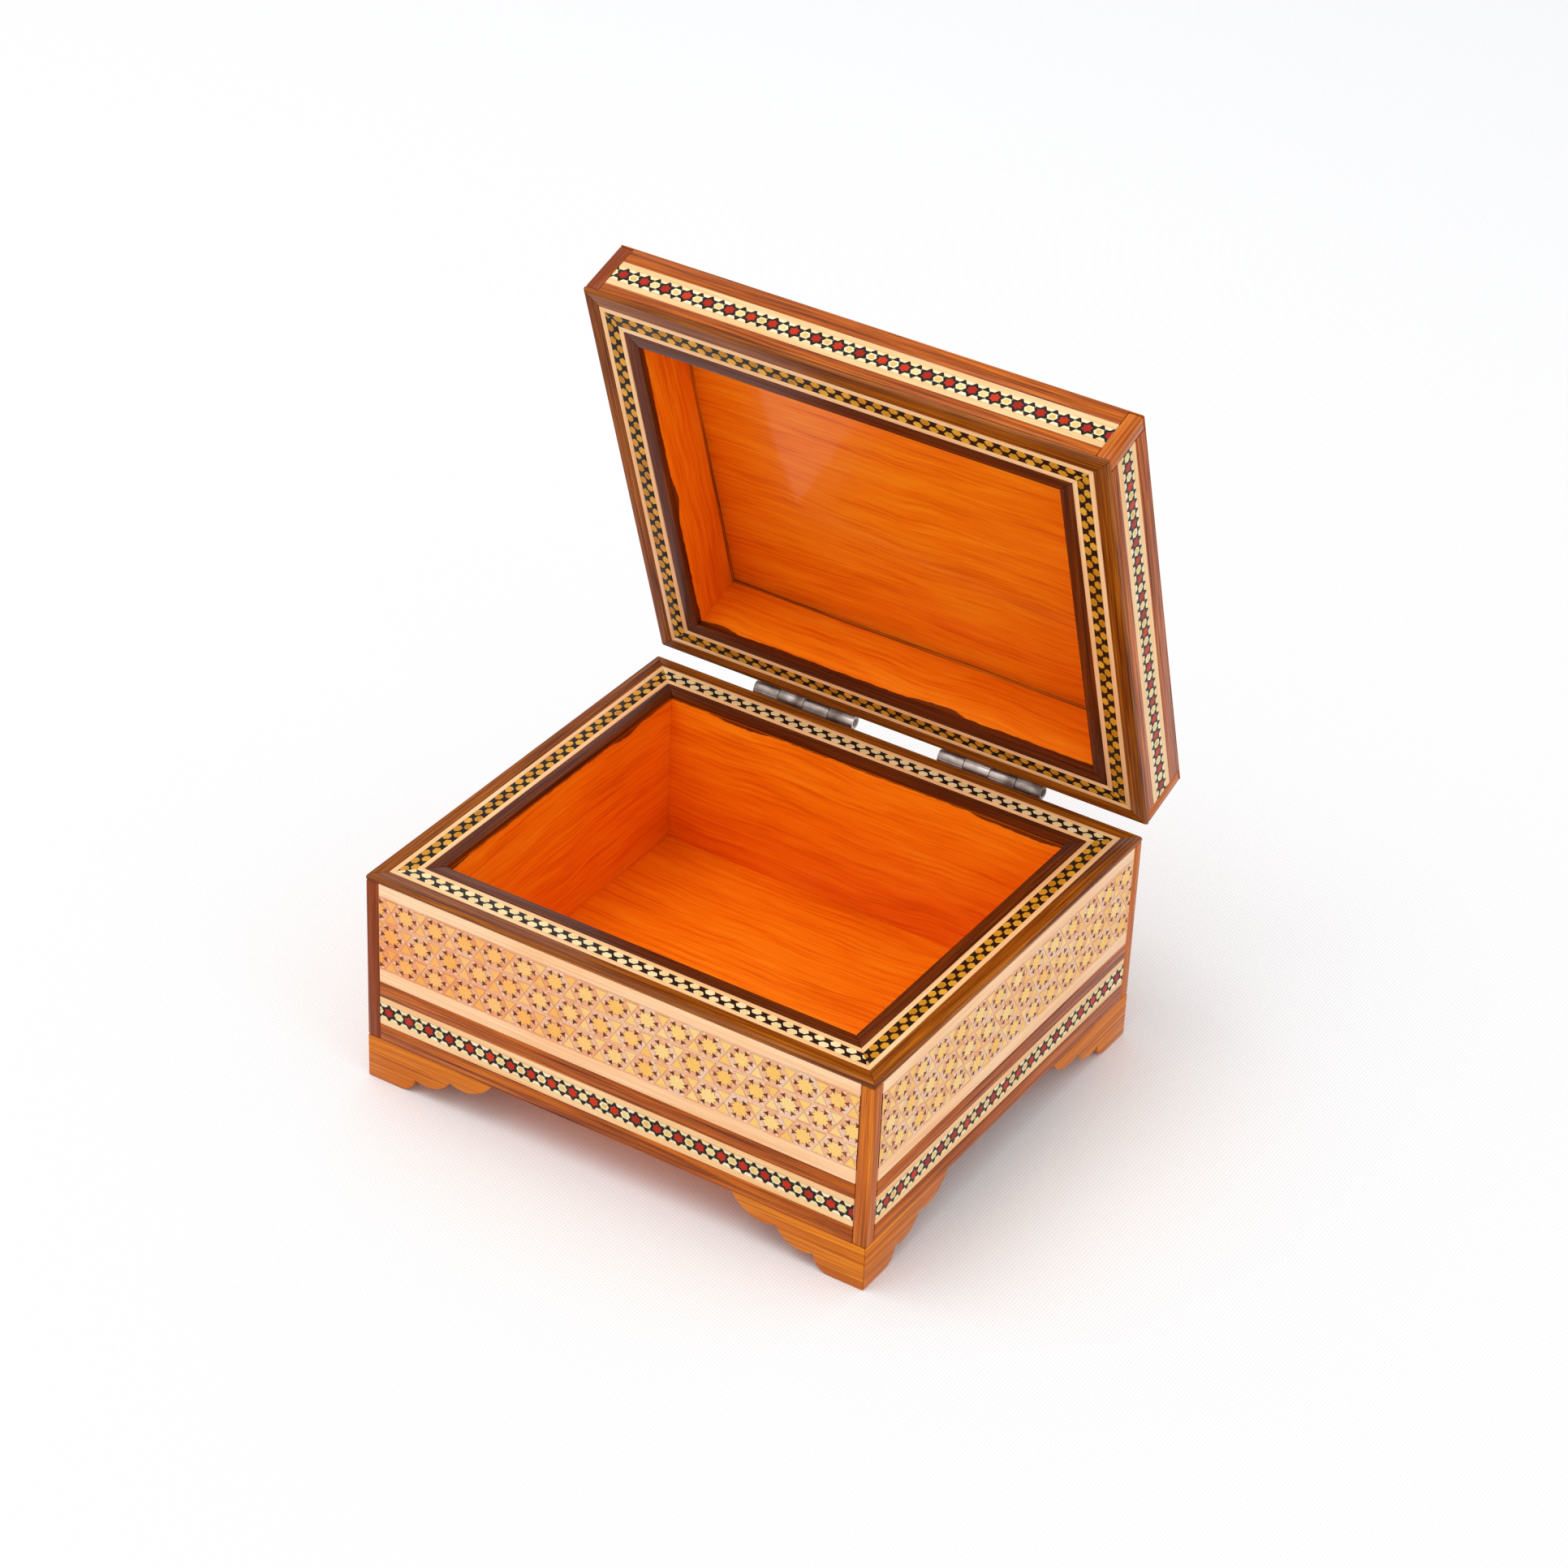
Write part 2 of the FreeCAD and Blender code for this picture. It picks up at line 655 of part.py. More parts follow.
def check_document():
    """Stop if an object failed, or a part has no sound shape."""
    for obj in doc.Objects:
        if "Invalid" in obj.State or "Error" in obj.State:
            raise RuntimeError("%s is %s" % (obj.Name, obj.State))
    for part in parts:
        if part.Shape.isNull() or not part.Shape.isValid() or not part.Shape.Solids:
            raise RuntimeError("%s has no sound shape" % part.Label)


def write_parts():
    """One STEP file for each part, named after it."""
    os.makedirs("parts", exist_ok=True)
    for part in parts:
        shape = part.Shape.copy()
        shape.Placement = case.Placement.multiply(shape.Placement)
        shape.exportStep("parts/%s.step" % part.Label)
        print("%-28s %2d solids %10.1f mm3" % (part.Label, len(shape.Solids), shape.Volume))
    print("the box is set forward by %.4f mm" % -case.Placement.Base.y)


build_base()
build_lid()
centre_box()
doc.recompute()
check_document()
write_parts()
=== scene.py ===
"""Looks of an inlaid wooden box: softened joinery, tile by tile mosaics, lacquer and steel."""

import json
import logging
import math
import random
import zlib
from dataclasses import dataclass
from enum import Enum
from typing import Callable, Sequence

import bpy
import numpy as np
from mathutils import Matrix, Vector

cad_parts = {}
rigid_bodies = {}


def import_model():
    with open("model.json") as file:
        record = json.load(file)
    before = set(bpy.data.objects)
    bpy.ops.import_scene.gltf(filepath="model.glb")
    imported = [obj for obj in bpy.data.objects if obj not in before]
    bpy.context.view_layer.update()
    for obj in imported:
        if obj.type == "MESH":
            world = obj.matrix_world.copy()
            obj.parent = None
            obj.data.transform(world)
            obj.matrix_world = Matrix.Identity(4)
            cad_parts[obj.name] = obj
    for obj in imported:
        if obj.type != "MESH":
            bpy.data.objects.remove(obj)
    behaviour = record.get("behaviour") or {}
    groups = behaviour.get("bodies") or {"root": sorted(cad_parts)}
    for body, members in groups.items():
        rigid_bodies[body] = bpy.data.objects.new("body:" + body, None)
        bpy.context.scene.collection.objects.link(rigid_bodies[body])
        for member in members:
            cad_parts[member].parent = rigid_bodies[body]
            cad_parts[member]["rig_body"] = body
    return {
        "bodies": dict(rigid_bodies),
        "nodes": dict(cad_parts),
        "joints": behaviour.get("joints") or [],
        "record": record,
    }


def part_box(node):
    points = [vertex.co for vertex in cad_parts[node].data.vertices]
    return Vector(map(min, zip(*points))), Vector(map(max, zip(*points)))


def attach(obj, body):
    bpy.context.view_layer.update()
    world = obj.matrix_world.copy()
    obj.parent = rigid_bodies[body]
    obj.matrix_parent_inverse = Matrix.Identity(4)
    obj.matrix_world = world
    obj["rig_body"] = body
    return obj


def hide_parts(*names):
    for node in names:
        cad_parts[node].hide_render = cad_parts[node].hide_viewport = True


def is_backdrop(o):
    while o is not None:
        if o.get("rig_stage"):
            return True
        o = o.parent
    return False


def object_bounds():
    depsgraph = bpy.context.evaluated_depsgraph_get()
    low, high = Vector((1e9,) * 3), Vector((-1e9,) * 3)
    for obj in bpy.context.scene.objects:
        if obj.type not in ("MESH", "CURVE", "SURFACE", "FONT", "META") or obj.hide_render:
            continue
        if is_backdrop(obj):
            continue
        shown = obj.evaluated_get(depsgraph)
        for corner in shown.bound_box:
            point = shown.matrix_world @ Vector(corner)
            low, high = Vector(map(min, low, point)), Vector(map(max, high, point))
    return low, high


LOG = logging.getLogger("inlaid_box")
MM = 0.001
TO_BENCH = Matrix.Scale(1 / MM, 4)
FROM_BENCH = Matrix.Scale(MM, 4)

# Names of what is kept with a mesh, and what the CAD mesh brings that is worked out afresh.
GRAIN_MAP = "grain"
TONE = "tone"
SHADING_DATA = ("custom_normal", "sharp_edge", "sharp_face")

# Looks: from where to where painted shade darkens the gold and rose tiles towards the left end,
# along the box, and the gloss of bare wood.
LEFT_SHADE_SPAN = (-62 * MM, 15 * MM)
BARE_GLOSS = 0.12

# Bench work in millimetres: a tile reaches this far below its ground, the ground under a
# mosaic is rounded this much, corners this close are one, a middle this close to a diagonal
# is on it, and a solid is looked for this far inside its faces.
TILE_DEPTH = 0.06
GROUND_SOFTNESS = 0.05
WELD = 0.002
SLACK = 0.01
INSIDE = 0.05

# Angles: edges sharper than the first are rounded, shading is smooth below the second, and
# faces within the third of each other are one.
BEVEL_FROM = math.radians(30)
SMOOTH_BELOW = math.radians(35)
FLAT_WITHIN = math.radians(0.5)

# The size of the slow unevenness of hand-laid rows, along and across them.
WOBBLE_SIZES = {"X": 3.1, "Y": 2.3}

Color = tuple[float, float, float]


# ---- finishes --------------------------------------------------------------------------

class NodeBoard:
    """A material's node tree with short calls to add and join nodes."""

    def __init__(self, name: str) -> None:
        """Start a material that holds a Principled shader and its output."""
        self.material = bpy.data.materials.new(name)
        self.material.use_nodes = True
        self.tree = self.material.node_tree
        self.shader = self.tree.nodes["Principled BSDF"]

    def add(self, kind: str, **settings: object) -> bpy.types.Node:
        """Add a node.

        Args:
            kind: The node's type without its ShaderNode prefix.
            settings: Attributes of the node.

        Returns:
            The new node.
        """
        node = self.tree.nodes.new("ShaderNode" + kind)
        for name, value in settings.items():
            setattr(node, name, value)
        return node

    def feed(self, source: object, node: bpy.types.Node, socket: str | int) -> None:
        """Join a socket to an input, or set the input where the source is a plain value."""
        if isinstance(source, bpy.types.NodeSocket):
            self.tree.links.new(source, node.inputs[socket])
        else:
            node.inputs[socket].default_value = source

    def noise(
        self, vector: object, scale: float, detail: float, distortion: float = 0.0
    ) -> object:
        """Fractal noise.

        Args:
            vector: Where it is read.
            scale: Its frequency.
            detail: Its octaves.
            distortion: How far it is warped.

        Returns:
            The factor socket.
        """
        node = self.add("TexNoise")
        self.feed(vector, node, "Vector")
        node.inputs["Scale"].default_value = scale
        node.inputs["Detail"].default_value = detail
        node.inputs["Distortion"].default_value = distortion
        return node.outputs["Fac"]

    def ramp(self, factor: object, stops: Sequence[tuple[float, Color]]) -> object:
        """A colour ramp.

        Args:
            factor: What drives it.
            stops: Places and colours, in order.

        Returns:
            The colour socket.
        """
        node = self.add("ValToRGB")
        self.feed(factor, node, "Fac")
        elements = node.color_ramp.elements
        while len(elements) < len(stops):
            elements.new(0.5)
        for element, (place, color) in zip(elements, stops):
            element.position = place
            element.color = (*color, 1.0)
        return node.outputs["Color"]

    def level(
        self, value: object, low: float, high: float, out_low: float, out_high: float
    ) -> object:
        """Map a value from one range to another, held at both ends.

        Returns:
            The result socket.
        """
        node = self.add("MapRange")
        for socket, number in enumerate((value, low, high, out_low, out_high)):
            self.feed(number, node, socket)
        return node.outputs["Result"]

    def math(self, operation: str, first: object, second: object = 0.0) -> object:
        """One operation on two numbers.

        Returns:
            The result socket.
        """
        node = self.add("Math", operation=operation)
        self.feed(first, node, 0)
        self.feed(second, node, 1)
        return node.outputs[0]

    def mix(self, factor: object, first: object, second: object, blend: str = "MIX") -> object:
        """Mix two colours.

        Returns:
            The colour socket.
        """
        node = self.add("Mix", data_type="RGBA", blend_type=blend)
        self.feed(factor, node, 0)
        self.feed(first, node, 6)
        self.feed(second, node, 7)
        return node.outputs[2]

    def bump(self, height: object, strength: float, distance: float) -> None:
        """Raise the surface by a height socket."""
        node = self.add("Bump")
        node.inputs["Strength"].default_value = strength
        node.inputs["Distance"].default_value = distance
        self.feed(height, node, "Height")
        self.feed(node.outputs["Normal"], self.shader, "Normal")

    def varnish(self, weight: float, roughness: float) -> None:
        """Lay a clear film over wood that hardly shines by itself."""
        self.shader.inputs["Specular IOR Level"].default_value = BARE_GLOSS
        self.shader.inputs["Coat Weight"].default_value = weight
        self.shader.inputs["Coat Roughness"].default_value = roughness


def rgb(red: int, green: int, blue: int) -> Color:
    """A colour on a 0 to 255 scale, as the linear values that a shader takes."""
    values = []
    for channel in (red, green, blue):
        share = channel / 255
        values.append(share / 12.92 if share <= 0.04045 else ((share + 0.055) / 1.055) ** 2.4)
    return values[0], values[1], values[2]


class Finish:
    """A finish that makes its material once."""

    name: str

    def material(self) -> bpy.types.Material:
        """The material, made the first time that it is asked for."""
        found = bpy.data.materials.get(self.title)
        return found or self.make()

    @property
    def title(self) -> str:
        """The material's name, apart from those that the CAD nodes bring."""
        return self.name + "_finish"

    def make(self) -> bpy.types.Material:
        """Build the node tree."""
        raise NotImplementedError


@dataclass(frozen=True)
class LacqueredWood(Finish):
    """Straight-grained wood under gloss lacquer, along the grain map of its piece."""

    name: str
    dark: Color
    middle: Color
    light: Color
    streak: Color
    streak_share: float = 0.35
    grain_length: float = 30 * MM
    grain_width: float = 0.9 * MM
    figure_length: float = 45 * MM
    figure_width: float = 6 * MM
    waviness: float = 0.5 * MM
    pore_depth: float = 0.02 * MM
    roughness: float = 0.36
    lacquer: float = 0.3
    lacquer_roughness: float = 0.1
    smear_level: float | None = None
    smear_above: bool = True
    # A tint multiplied into what lies past a line at the left end of the box.
    left_end_darkening: Color | None = None
    darkening_line: tuple[float, float] = (-57.5 * MM, -56.0 * MM)
    smear_color: Color = rgb(84, 30, 6)
    smear_reach: float = 1.9 * MM
    smear_rags: float = 0.7 * MM
    smear_edge: float = 0.25 * MM

    def make(self) -> bpy.types.Material:
        """Build grain, figure, pores, lacquer and, on boards, the stain that ran over an edge."""
        board = NodeBoard(self.title)
        place = board.add("UVMap", uv_map=GRAIN_MAP).outputs["UV"]
        drift = board.noise(place, 1 / self.figure_length, 2)
        split = board.add("SeparateXYZ")
        board.feed(place, split, 0)
        offset = board.math("MULTIPLY", board.math("SUBTRACT", drift, 0.5), 2 * self.waviness)
        across = board.math("ADD", split.outputs["Y"], offset)
        along = split.outputs["X"]
        grain = self.stretched(board, along, across, self.grain_length, self.grain_width)
        fibre = board.noise(grain, 1.0, 6, 0.3)
        wide = self.stretched(board, along, across, self.figure_length, self.figure_width)
        figure = board.noise(wide, 1.0, 3, 0.8)
        tone = board.math(
            "ADD", board.math("MULTIPLY", fibre, 0.6), board.math("MULTIPLY", figure, 0.4)
        )
        color = board.ramp(tone, ((0.36, self.dark), (0.5, self.middle), (0.64, self.light)))
        fine = self.stretched(board, along, across, self.grain_length * 0.4, self.grain_width * 0.3)
        pores = board.noise(fine, 1.0, 3)
        streaks = board.level(pores, 0.56, 0.68, 0.0, self.streak_share)
        color = board.mix(streaks, color, (*self.streak, 1.0))
        if self.smear_level is not None:
            color = self.smeared(board, place, split.outputs["Y"], color)
        if self.left_end_darkening is not None:
            color = self.darkened_left_end(board, color)
        board.feed(color, board.shader, "Base Color")
        rough = board.level(fibre, 0.3, 0.7, self.roughness + 0.08, self.roughness - 0.06)
        board.feed(rough, board.shader, "Roughness")
        board.varnish(self.lacquer, self.lacquer_roughness)
        board.bump(pores, 0.35, self.pore_depth)
        self.ripple(board)
        return board.material

    def darkened_left_end(self, board: NodeBoard, color: object) -> object:
        """Darker colour on what lies past the darkening line at the left end of the box.

        Returns:
            The colour socket.
        """
        side = board.add("SeparateXYZ")
        board.feed(board.add("TexCoord").outputs["Object"], side, 0)
        end = board.level(side.outputs["X"], *self.darkening_line, 1.0, 0.0)
        return board.mix(end, color, (*self.left_end_darkening, 1.0), "MULTIPLY")

    @staticmethod
    def ripple(board: NodeBoard) -> None:
        """Give the lacquer film the slow waves that a brush leaves."""
        node = board.add("Bump")
        node.inputs["Strength"].default_value = 0.25
        node.inputs["Distance"].default_value = 0.12 * MM
        place = board.add("TexCoord").outputs["Object"]
        board.feed(board.noise(place, 260.0, 2, 0.4), node, "Height")
        board.feed(node.outputs["Normal"], board.shader, "Coat Normal")

    @staticmethod
    def stretched(
        board: NodeBoard, along: object, across: object, length: float, width: float
    ) -> object:
        """Coordinates in units of one grain's length and width.

        Returns:
            The vector socket.
        """
        node = board.add("CombineXYZ")
        board.feed(board.math("DIVIDE", along, length), node, "X")
        board.feed(board.math("DIVIDE", across, width), node, "Y")
        return node.outputs[0]

    def smeared(self, board: NodeBoard, place: object, height: object, color: object) -> object:
        """Dark stain that ran over the edge of the boards by an uneven few millimetres.

        Returns:
            The colour socket.
        """
        run = board.level(board.noise(place, 38.0, 1), 0.53, 0.68, 0.0, self.smear_reach)
        ragged = board.math("MULTIPLY", board.noise(place, 300.0, 3, 0.5), self.smear_rags)
        reach = board.math("ADD", run, ragged)
        if self.smear_above:
            past = board.math("SUBTRACT", height, self.smear_level)
        else:
            past = board.math("SUBTRACT", self.smear_level, height)
        amount = board.level(board.math("ADD", past, reach), 0.0, self.smear_edge, 0.0, 0.93)
        return board.mix(amount, color, (*self.smear_color, 1.0))


@dataclass(frozen=True)
class TileWood(Finish):
    """One dyed or natural wood of a mosaic, with a tone of its own on each tile."""

    name: str
    first: Color
    second: Color
    third: Color
    mottle: float = 0.25
    roughness: float = 0.38
    lacquer: float = 0.14
    lacquer_roughness: float = 0.12
    aged: Color | None = None

    @staticmethod
    def age(board: NodeBoard, place: object) -> object:
        """How far painted shade darkens a tile, most at the left end of the box and in patches.

        Returns:
            The factor socket.
        """
        split = board.add("SeparateXYZ")
        board.feed(place, split, 0)
        end = board.level(split.outputs["X"], *LEFT_SHADE_SPAN, 1.0, 0.0)
        patches = board.level(board.noise(place, 45.0, 2), 0.35, 0.65, 0.6, 1.0)
        return board.math("MULTIPLY", end, patches)

    def make(self) -> bpy.types.Material:
        """Build the tile's own tone, a fleck of end grain and the lacquer."""
        board = NodeBoard(self.title)
        own = board.add("Attribute", attribute_name=TONE).outputs["Fac"]
        tone = board.ramp(own, ((0.0, self.first), (0.5, self.second), (1.0, self.third)))
        place = board.add("TexCoord").outputs["Object"]
        # Painted shade: the tile is multiplied darker towards the left end of the box.
        if self.aged is not None:
            tone = board.mix(self.age(board, place), tone, (*self.aged, 1.0), "MULTIPLY")
        fleck = board.noise(place, 2600.0, 3)
        shade = board.level(fleck, 0.3, 0.7, 1.0 - self.mottle, 1.0 + self.mottle * 0.4)
        grey = board.add("CombineColor")
        for socket in range(3):
            board.feed(shade, grey, socket)
        color = board.mix(1.0, tone, grey.outputs[0], "MULTIPLY")
        board.feed(color, board.shader, "Base Color")
        rough = board.level(fleck, 0.3, 0.7, self.roughness + 0.08, self.roughness)
        board.feed(rough, board.shader, "Roughness")
        board.varnish(self.lacquer, self.lacquer_roughness)
        board.bump(fleck, 0.15, 0.01 * MM)
        return board.material


@dataclass(frozen=True)
class TarnishedSteel(Finish):
    """Thin rolled steel with cloudy wear, on Object coordinates."""

    name: str
    bright: Color = rgb(206, 196, 190)
    dull: Color = rgb(134, 118, 110)
    roughness: float = 0.36

    def make(self) -> bpy.types.Material:
        """Build cloudy patches, brushing along the pin and light pitting."""
        board = NodeBoard(self.title)
        place = board.add("TexCoord").outputs["Object"]
        stretch = board.add("Mapping")
        board.feed(place, stretch, "Vector")
        stretch.inputs["Scale"].default_value = (0.25, 1.0, 1.0)
        clouds = board.noise(place, 190.0, 2, 0.5)
        brushed = board.noise(stretch.outputs[0], 2600.0, 2)
        color = board.ramp(clouds, ((0.36, self.dull), (0.6, self.bright)))
        board.feed(color, board.shader, "Base Color")
        rough = board.math("ADD", board.level(clouds, 0.3, 0.7, 0.22, -0.06), self.roughness)
        rough = board.math("ADD", rough, board.level(brushed, 0.3, 0.7, 0.0, 0.1))
        board.feed(rough, board.shader, "Roughness")
        board.shader.inputs["Metallic"].default_value = 1.0
        board.bump(brushed, 0.15, 0.006 * MM)
        return board.material


@dataclass(frozen=True)
class PaleCloth(Finish):
    """The pale woven ground that the box stands on."""

    name: str
    warp: float = 900.0

    def make(self) -> bpy.types.Material:
        """Build a plain weave that is hardly seen."""
        board = NodeBoard(self.title)
        place = board.add("TexCoord").outputs["Object"]
        threads = []
        for direction in ("X", "Y"):
            wave = board.add("TexWave", bands_direction=direction)
            board.feed(place, wave, "Vector")
            wave.inputs["Scale"].default_value = self.warp / 2
            wave.inputs["Distortion"].default_value = 0.8
            threads.append(wave.outputs["Fac"])
        weave = board.math("MAXIMUM", threads[0], threads[1])
        tone = board.ramp(weave, ((0.0, rgb(226, 228, 232)), (1.0, rgb(252, 252, 253))))
        board.feed(tone, board.shader, "Base Color")
        board.shader.inputs["Roughness"].default_value = 0.9
        board.bump(weave, 0.5, 0.06 * MM)
        return board.material


# ---- the bench -------------------------------------------------------------------------

class Layer(Enum):
    """How high each layer of a mosaic lies above its ground, in millimetres."""

    GROUND = 0.010
    EDGE = 0.020
    BODY = 0.030
    POINT = 0.040
    CORE = 0.050


class Bench:
    """Short calls to Blender's own tools; small work is done here in millimetres."""

    @staticmethod
    def pick(*pieces: bpy.types.Object) -> None:
        """Select these pieces and nothing else, the first one active."""
        bpy.ops.object.select_all(action="DESELECT")
        for piece in pieces:
            piece.select_set(True)
        bpy.context.view_layer.objects.active = pieces[0]

    @classmethod
    def edit(cls, piece: bpy.types.Object, mode: str = "VERT") -> None:
        """Open a piece for editing with all of it selected."""
        cls.pick(piece)
        bpy.ops.object.mode_set(mode="EDIT")
        bpy.ops.mesh.select_mode(type=mode)
        bpy.ops.mesh.select_all(action="SELECT")

    @staticmethod
    def close() -> None:
        """Leave edit mode."""
        bpy.ops.object.mode_set(mode="OBJECT")

    @classmethod
    def join(cls, pieces: Sequence[bpy.types.Object]) -> bpy.types.Object:
        """Join pieces into the first one.

        Returns:
            The joined piece.
        """
        cls.pick(*pieces)
        if len(pieces) > 1:
            bpy.ops.object.join()
        return pieces[0]

    @staticmethod
    def duplicate(piece: bpy.types.Object) -> bpy.types.Object:
        """A copy of a piece with a mesh of its own."""
        copy = piece.copy()
        copy.data = piece.data.copy()
        bpy.context.collection.objects.link(copy)
        return copy

    @classmethod
    def settle(cls, piece: bpy.types.Object) -> None:
        """Put an object's place, turn and scale into its mesh."""
        cls.pick(piece)
        bpy.ops.object.transform_apply(location=True, rotation=True, scale=True)

    @classmethod
    def resize(cls, piece: bpy.types.Object, along: float, across: float) -> None:
        """Stretch or squeeze a piece about the middle of the bench."""
        piece.scale = (along, across, 1.0)
        cls.settle(piece)

    @classmethod
    def modify(cls, piece: bpy.types.Object, kind: str, **settings: object) -> None:
        """Add one modifier and apply it."""
        cls.pick(piece)
        modifier = piece.modifiers.new(kind.lower(), kind)
        for name, value in settings.items():
            setattr(modifier, name, value)
        bpy.ops.object.modifier_apply(modifier=modifier.name)

    @classmethod
    def soften(cls, piece: bpy.types.Object, width: float, segments: int = 2) -> None:
        """Round the edges of a piece and smooth its shading."""
        cls.modify(
            piece, "BEVEL", width=width, segments=segments, limit_method="ANGLE",
            angle_limit=BEVEL_FROM,
        )
        cls.pick(piece)
        bpy.ops.object.shade_smooth_by_angle(angle=SMOOTH_BELOW)

    @classmethod
    def cut(cls, piece: bpy.types.Object, point: Sequence[float], outward: Sequence[float]) -> None:
        """Saw off what lies past a plane and close the cut."""
        cls.edit(piece)
        bpy.ops.mesh.bisect(
            plane_co=point, plane_no=outward, use_fill=True, clear_outer=True, threshold=1e-5
        )
        cls.close()

    @classmethod
    def tile(
        cls, sides: int, radius: float, place: tuple[float, float], layer: Layer, finish: Finish,
        turn: float = 0.0, waist: float = 1.0,
    ) -> bpy.types.Object:
        """One flat tile on the bench.

        Args:
            sides: How many corners it has.
            radius: From its middle to a corner.
            place: Its middle.
            layer: How high its face is above the ground of the mosaic.
            finish: Its wood.
            turn: Its turn in degrees; unturned, a corner points up the bench.
            waist: How far every second corner is drawn in.

        Returns:
            The tile, a closed prism.
        """
        bpy.ops.object.select_all(action="DESELECT")
        bpy.ops.mesh.primitive_circle_add(vertices=sides, radius=radius, fill_type="NGON")
        piece = bpy.context.object
        if waist != 1.0:
            cls.edit(piece)
            bpy.ops.mesh.select_all(action="DESELECT")
            cls.close()
            for vertex in list(piece.data.vertices)[1::2]:
                vertex.select = True
            bpy.ops.object.mode_set(mode="EDIT")
            bpy.ops.transform.resize(value=(waist, waist, 1.0), center_override=(0, 0, 0))
            cls.close()
        cls.edit(piece, "FACE")
        bpy.ops.mesh.extrude_region_move(
            TRANSFORM_OT_translate={"value": (0, 0, -TILE_DEPTH - layer.value)}
        )
        bpy.ops.mesh.select_all(action="SELECT")
        bpy.ops.mesh.normals_make_consistent(inside=False)
        cls.close()
        piece.rotation_euler = (0, 0, math.radians(turn))
        piece.location = (*place, layer.value)
        cls.settle(piece)
        piece.data.materials.append(finish.material())
        return piece


def extent(spots: Sequence[Vector]) -> tuple[Vector, Vector]:
    """The lowest and the highest corner of the box round some points."""
    return tuple(
        Vector(pick(spot[axis] for spot in spots) for axis in range(3)) for pick in (min, max)
    )


def islands(mesh: bpy.types.Mesh) -> np.ndarray:
    """Number the separate shells of a mesh.

    Args:
        mesh: Any mesh.

    Returns:
        For each vertex, the lowest vertex number of its shell.
    """
    edges = np.empty(len(mesh.edges) * 2, np.int64)
    mesh.edges.foreach_get("vertices", edges)
    first, second = edges[0::2], edges[1::2]
    labels = np.arange(len(mesh.vertices))
    while True:
        low = np.minimum(labels[first], labels[second])
        fresh = labels.copy()
        np.minimum.at(fresh, first, low)
        np.minimum.at(fresh, second, low)
        fresh = fresh[fresh]
        if np.array_equal(fresh, labels):
            return labels
        labels = fresh


def tone_tiles(piece: bpy.types.Object, seed: str) -> None:
    """Give each tile of a mosaic a tone of its own, kept with its mesh."""
    labels = islands(piece.data)
    draws = np.random.default_rng(zlib.crc32(seed.encode())).random(len(labels))
    tone = piece.data.attributes.new(TONE, "FLOAT", "POINT")
    tone.data.foreach_set("value", draws[labels].astype(np.float32))


# ---- mosaics ---------------------------------------------------------------------------

@dataclass(frozen=True)
class Trim:
    """The piece of mosaic that one bar takes, in millimetres.

    Attributes:
        length: Along its outer edge.
        width: Across it.
        mitred: Whether its ends are cut at 45 degrees.
    """

    length: float
    width: float
    mitred: bool


class Mosaic:
    """A mosaic made as one cell, set side by side and trimmed to a bar.

    Attributes:
        pitch: From cell to cell.
        flattened: How much lower a cell is than a regular one.
        wobble: How far the rows stray, in millimetres.
    """

    pitch: float
    flattened: float
    wobble: float = 0.22

    def cell(self) -> bpy.types.Object:
        """One regular repeat about the middle of the bench."""
        raise NotImplementedError

    def rows(self, width: float) -> list[tuple[float, float]]:
        """The shift along and the height of each row of cells; one row where not said otherwise."""
        return [(0.0, 0.0)]

    def run(self, trim: Trim, phase: float) -> bpy.types.Object:
        """Lay the mosaic for one bar.

        Args:
            trim: The bar's size and ends.
            phase: How far a cell's middle is from the bar's middle.

        Returns:
            The tiles on the bench, the bar's middle at its origin.
        """
        cell = self.cell()
        Bench.resize(cell, 1.0, self.flattened)
        rows = []
        for shift, height in self.rows(trim.width):
            row = Bench.duplicate(cell)
            before = math.ceil((trim.length / 2 + phase + shift) / self.pitch) + 1
            after = math.ceil((trim.length / 2 - phase - shift) / self.pitch) + 1
            row.location = (phase + shift - before * self.pitch, height, 0)
            Bench.settle(row)
            Bench.modify(
                row, "ARRAY", count=before + after + 1, use_relative_offset=False,
                use_constant_offset=True, constant_offset_displace=(self.pitch, 0, 0),
            )
            rows.append(row)
        bpy.data.objects.remove(cell)
        piece = Bench.join(rows)
        for axis in ("X", "Y"):
            Bench.modify(
                piece, "DISPLACE", direction=axis, texture=hand_wobble(axis), strength=self.wobble,
                texture_coords="LOCAL",
            )
        self.trimmed(piece, trim)
        return piece

    @staticmethod
    def trimmed(piece: bpy.types.Object, trim: Trim) -> None:
        """Saw a mosaic to its bar's edges and ends."""
        half, rise = trim.length / 2, trim.width / 2
        slope = 1.0 if trim.mitred else 0.0
        for end in (-1, 1):
            Bench.cut(piece, (end * half, -rise, 0), (end, slope, 0))
            Bench.cut(piece, (0, end * rise, 0), (0, end, 0))


def hand_wobble(axis: str) -> bpy.types.Texture:
    """The slow unevenness of hand-laid rows, one pattern for each direction."""
    name = f"hand_wobble_{axis}"
    found = bpy.data.textures.get(name)
    if found is None:
        found = bpy.data.textures.new(name, "CLOUDS")
        found.noise_scale = WOBBLE_SIZES[axis]
        found.noise_depth = 2
    return found


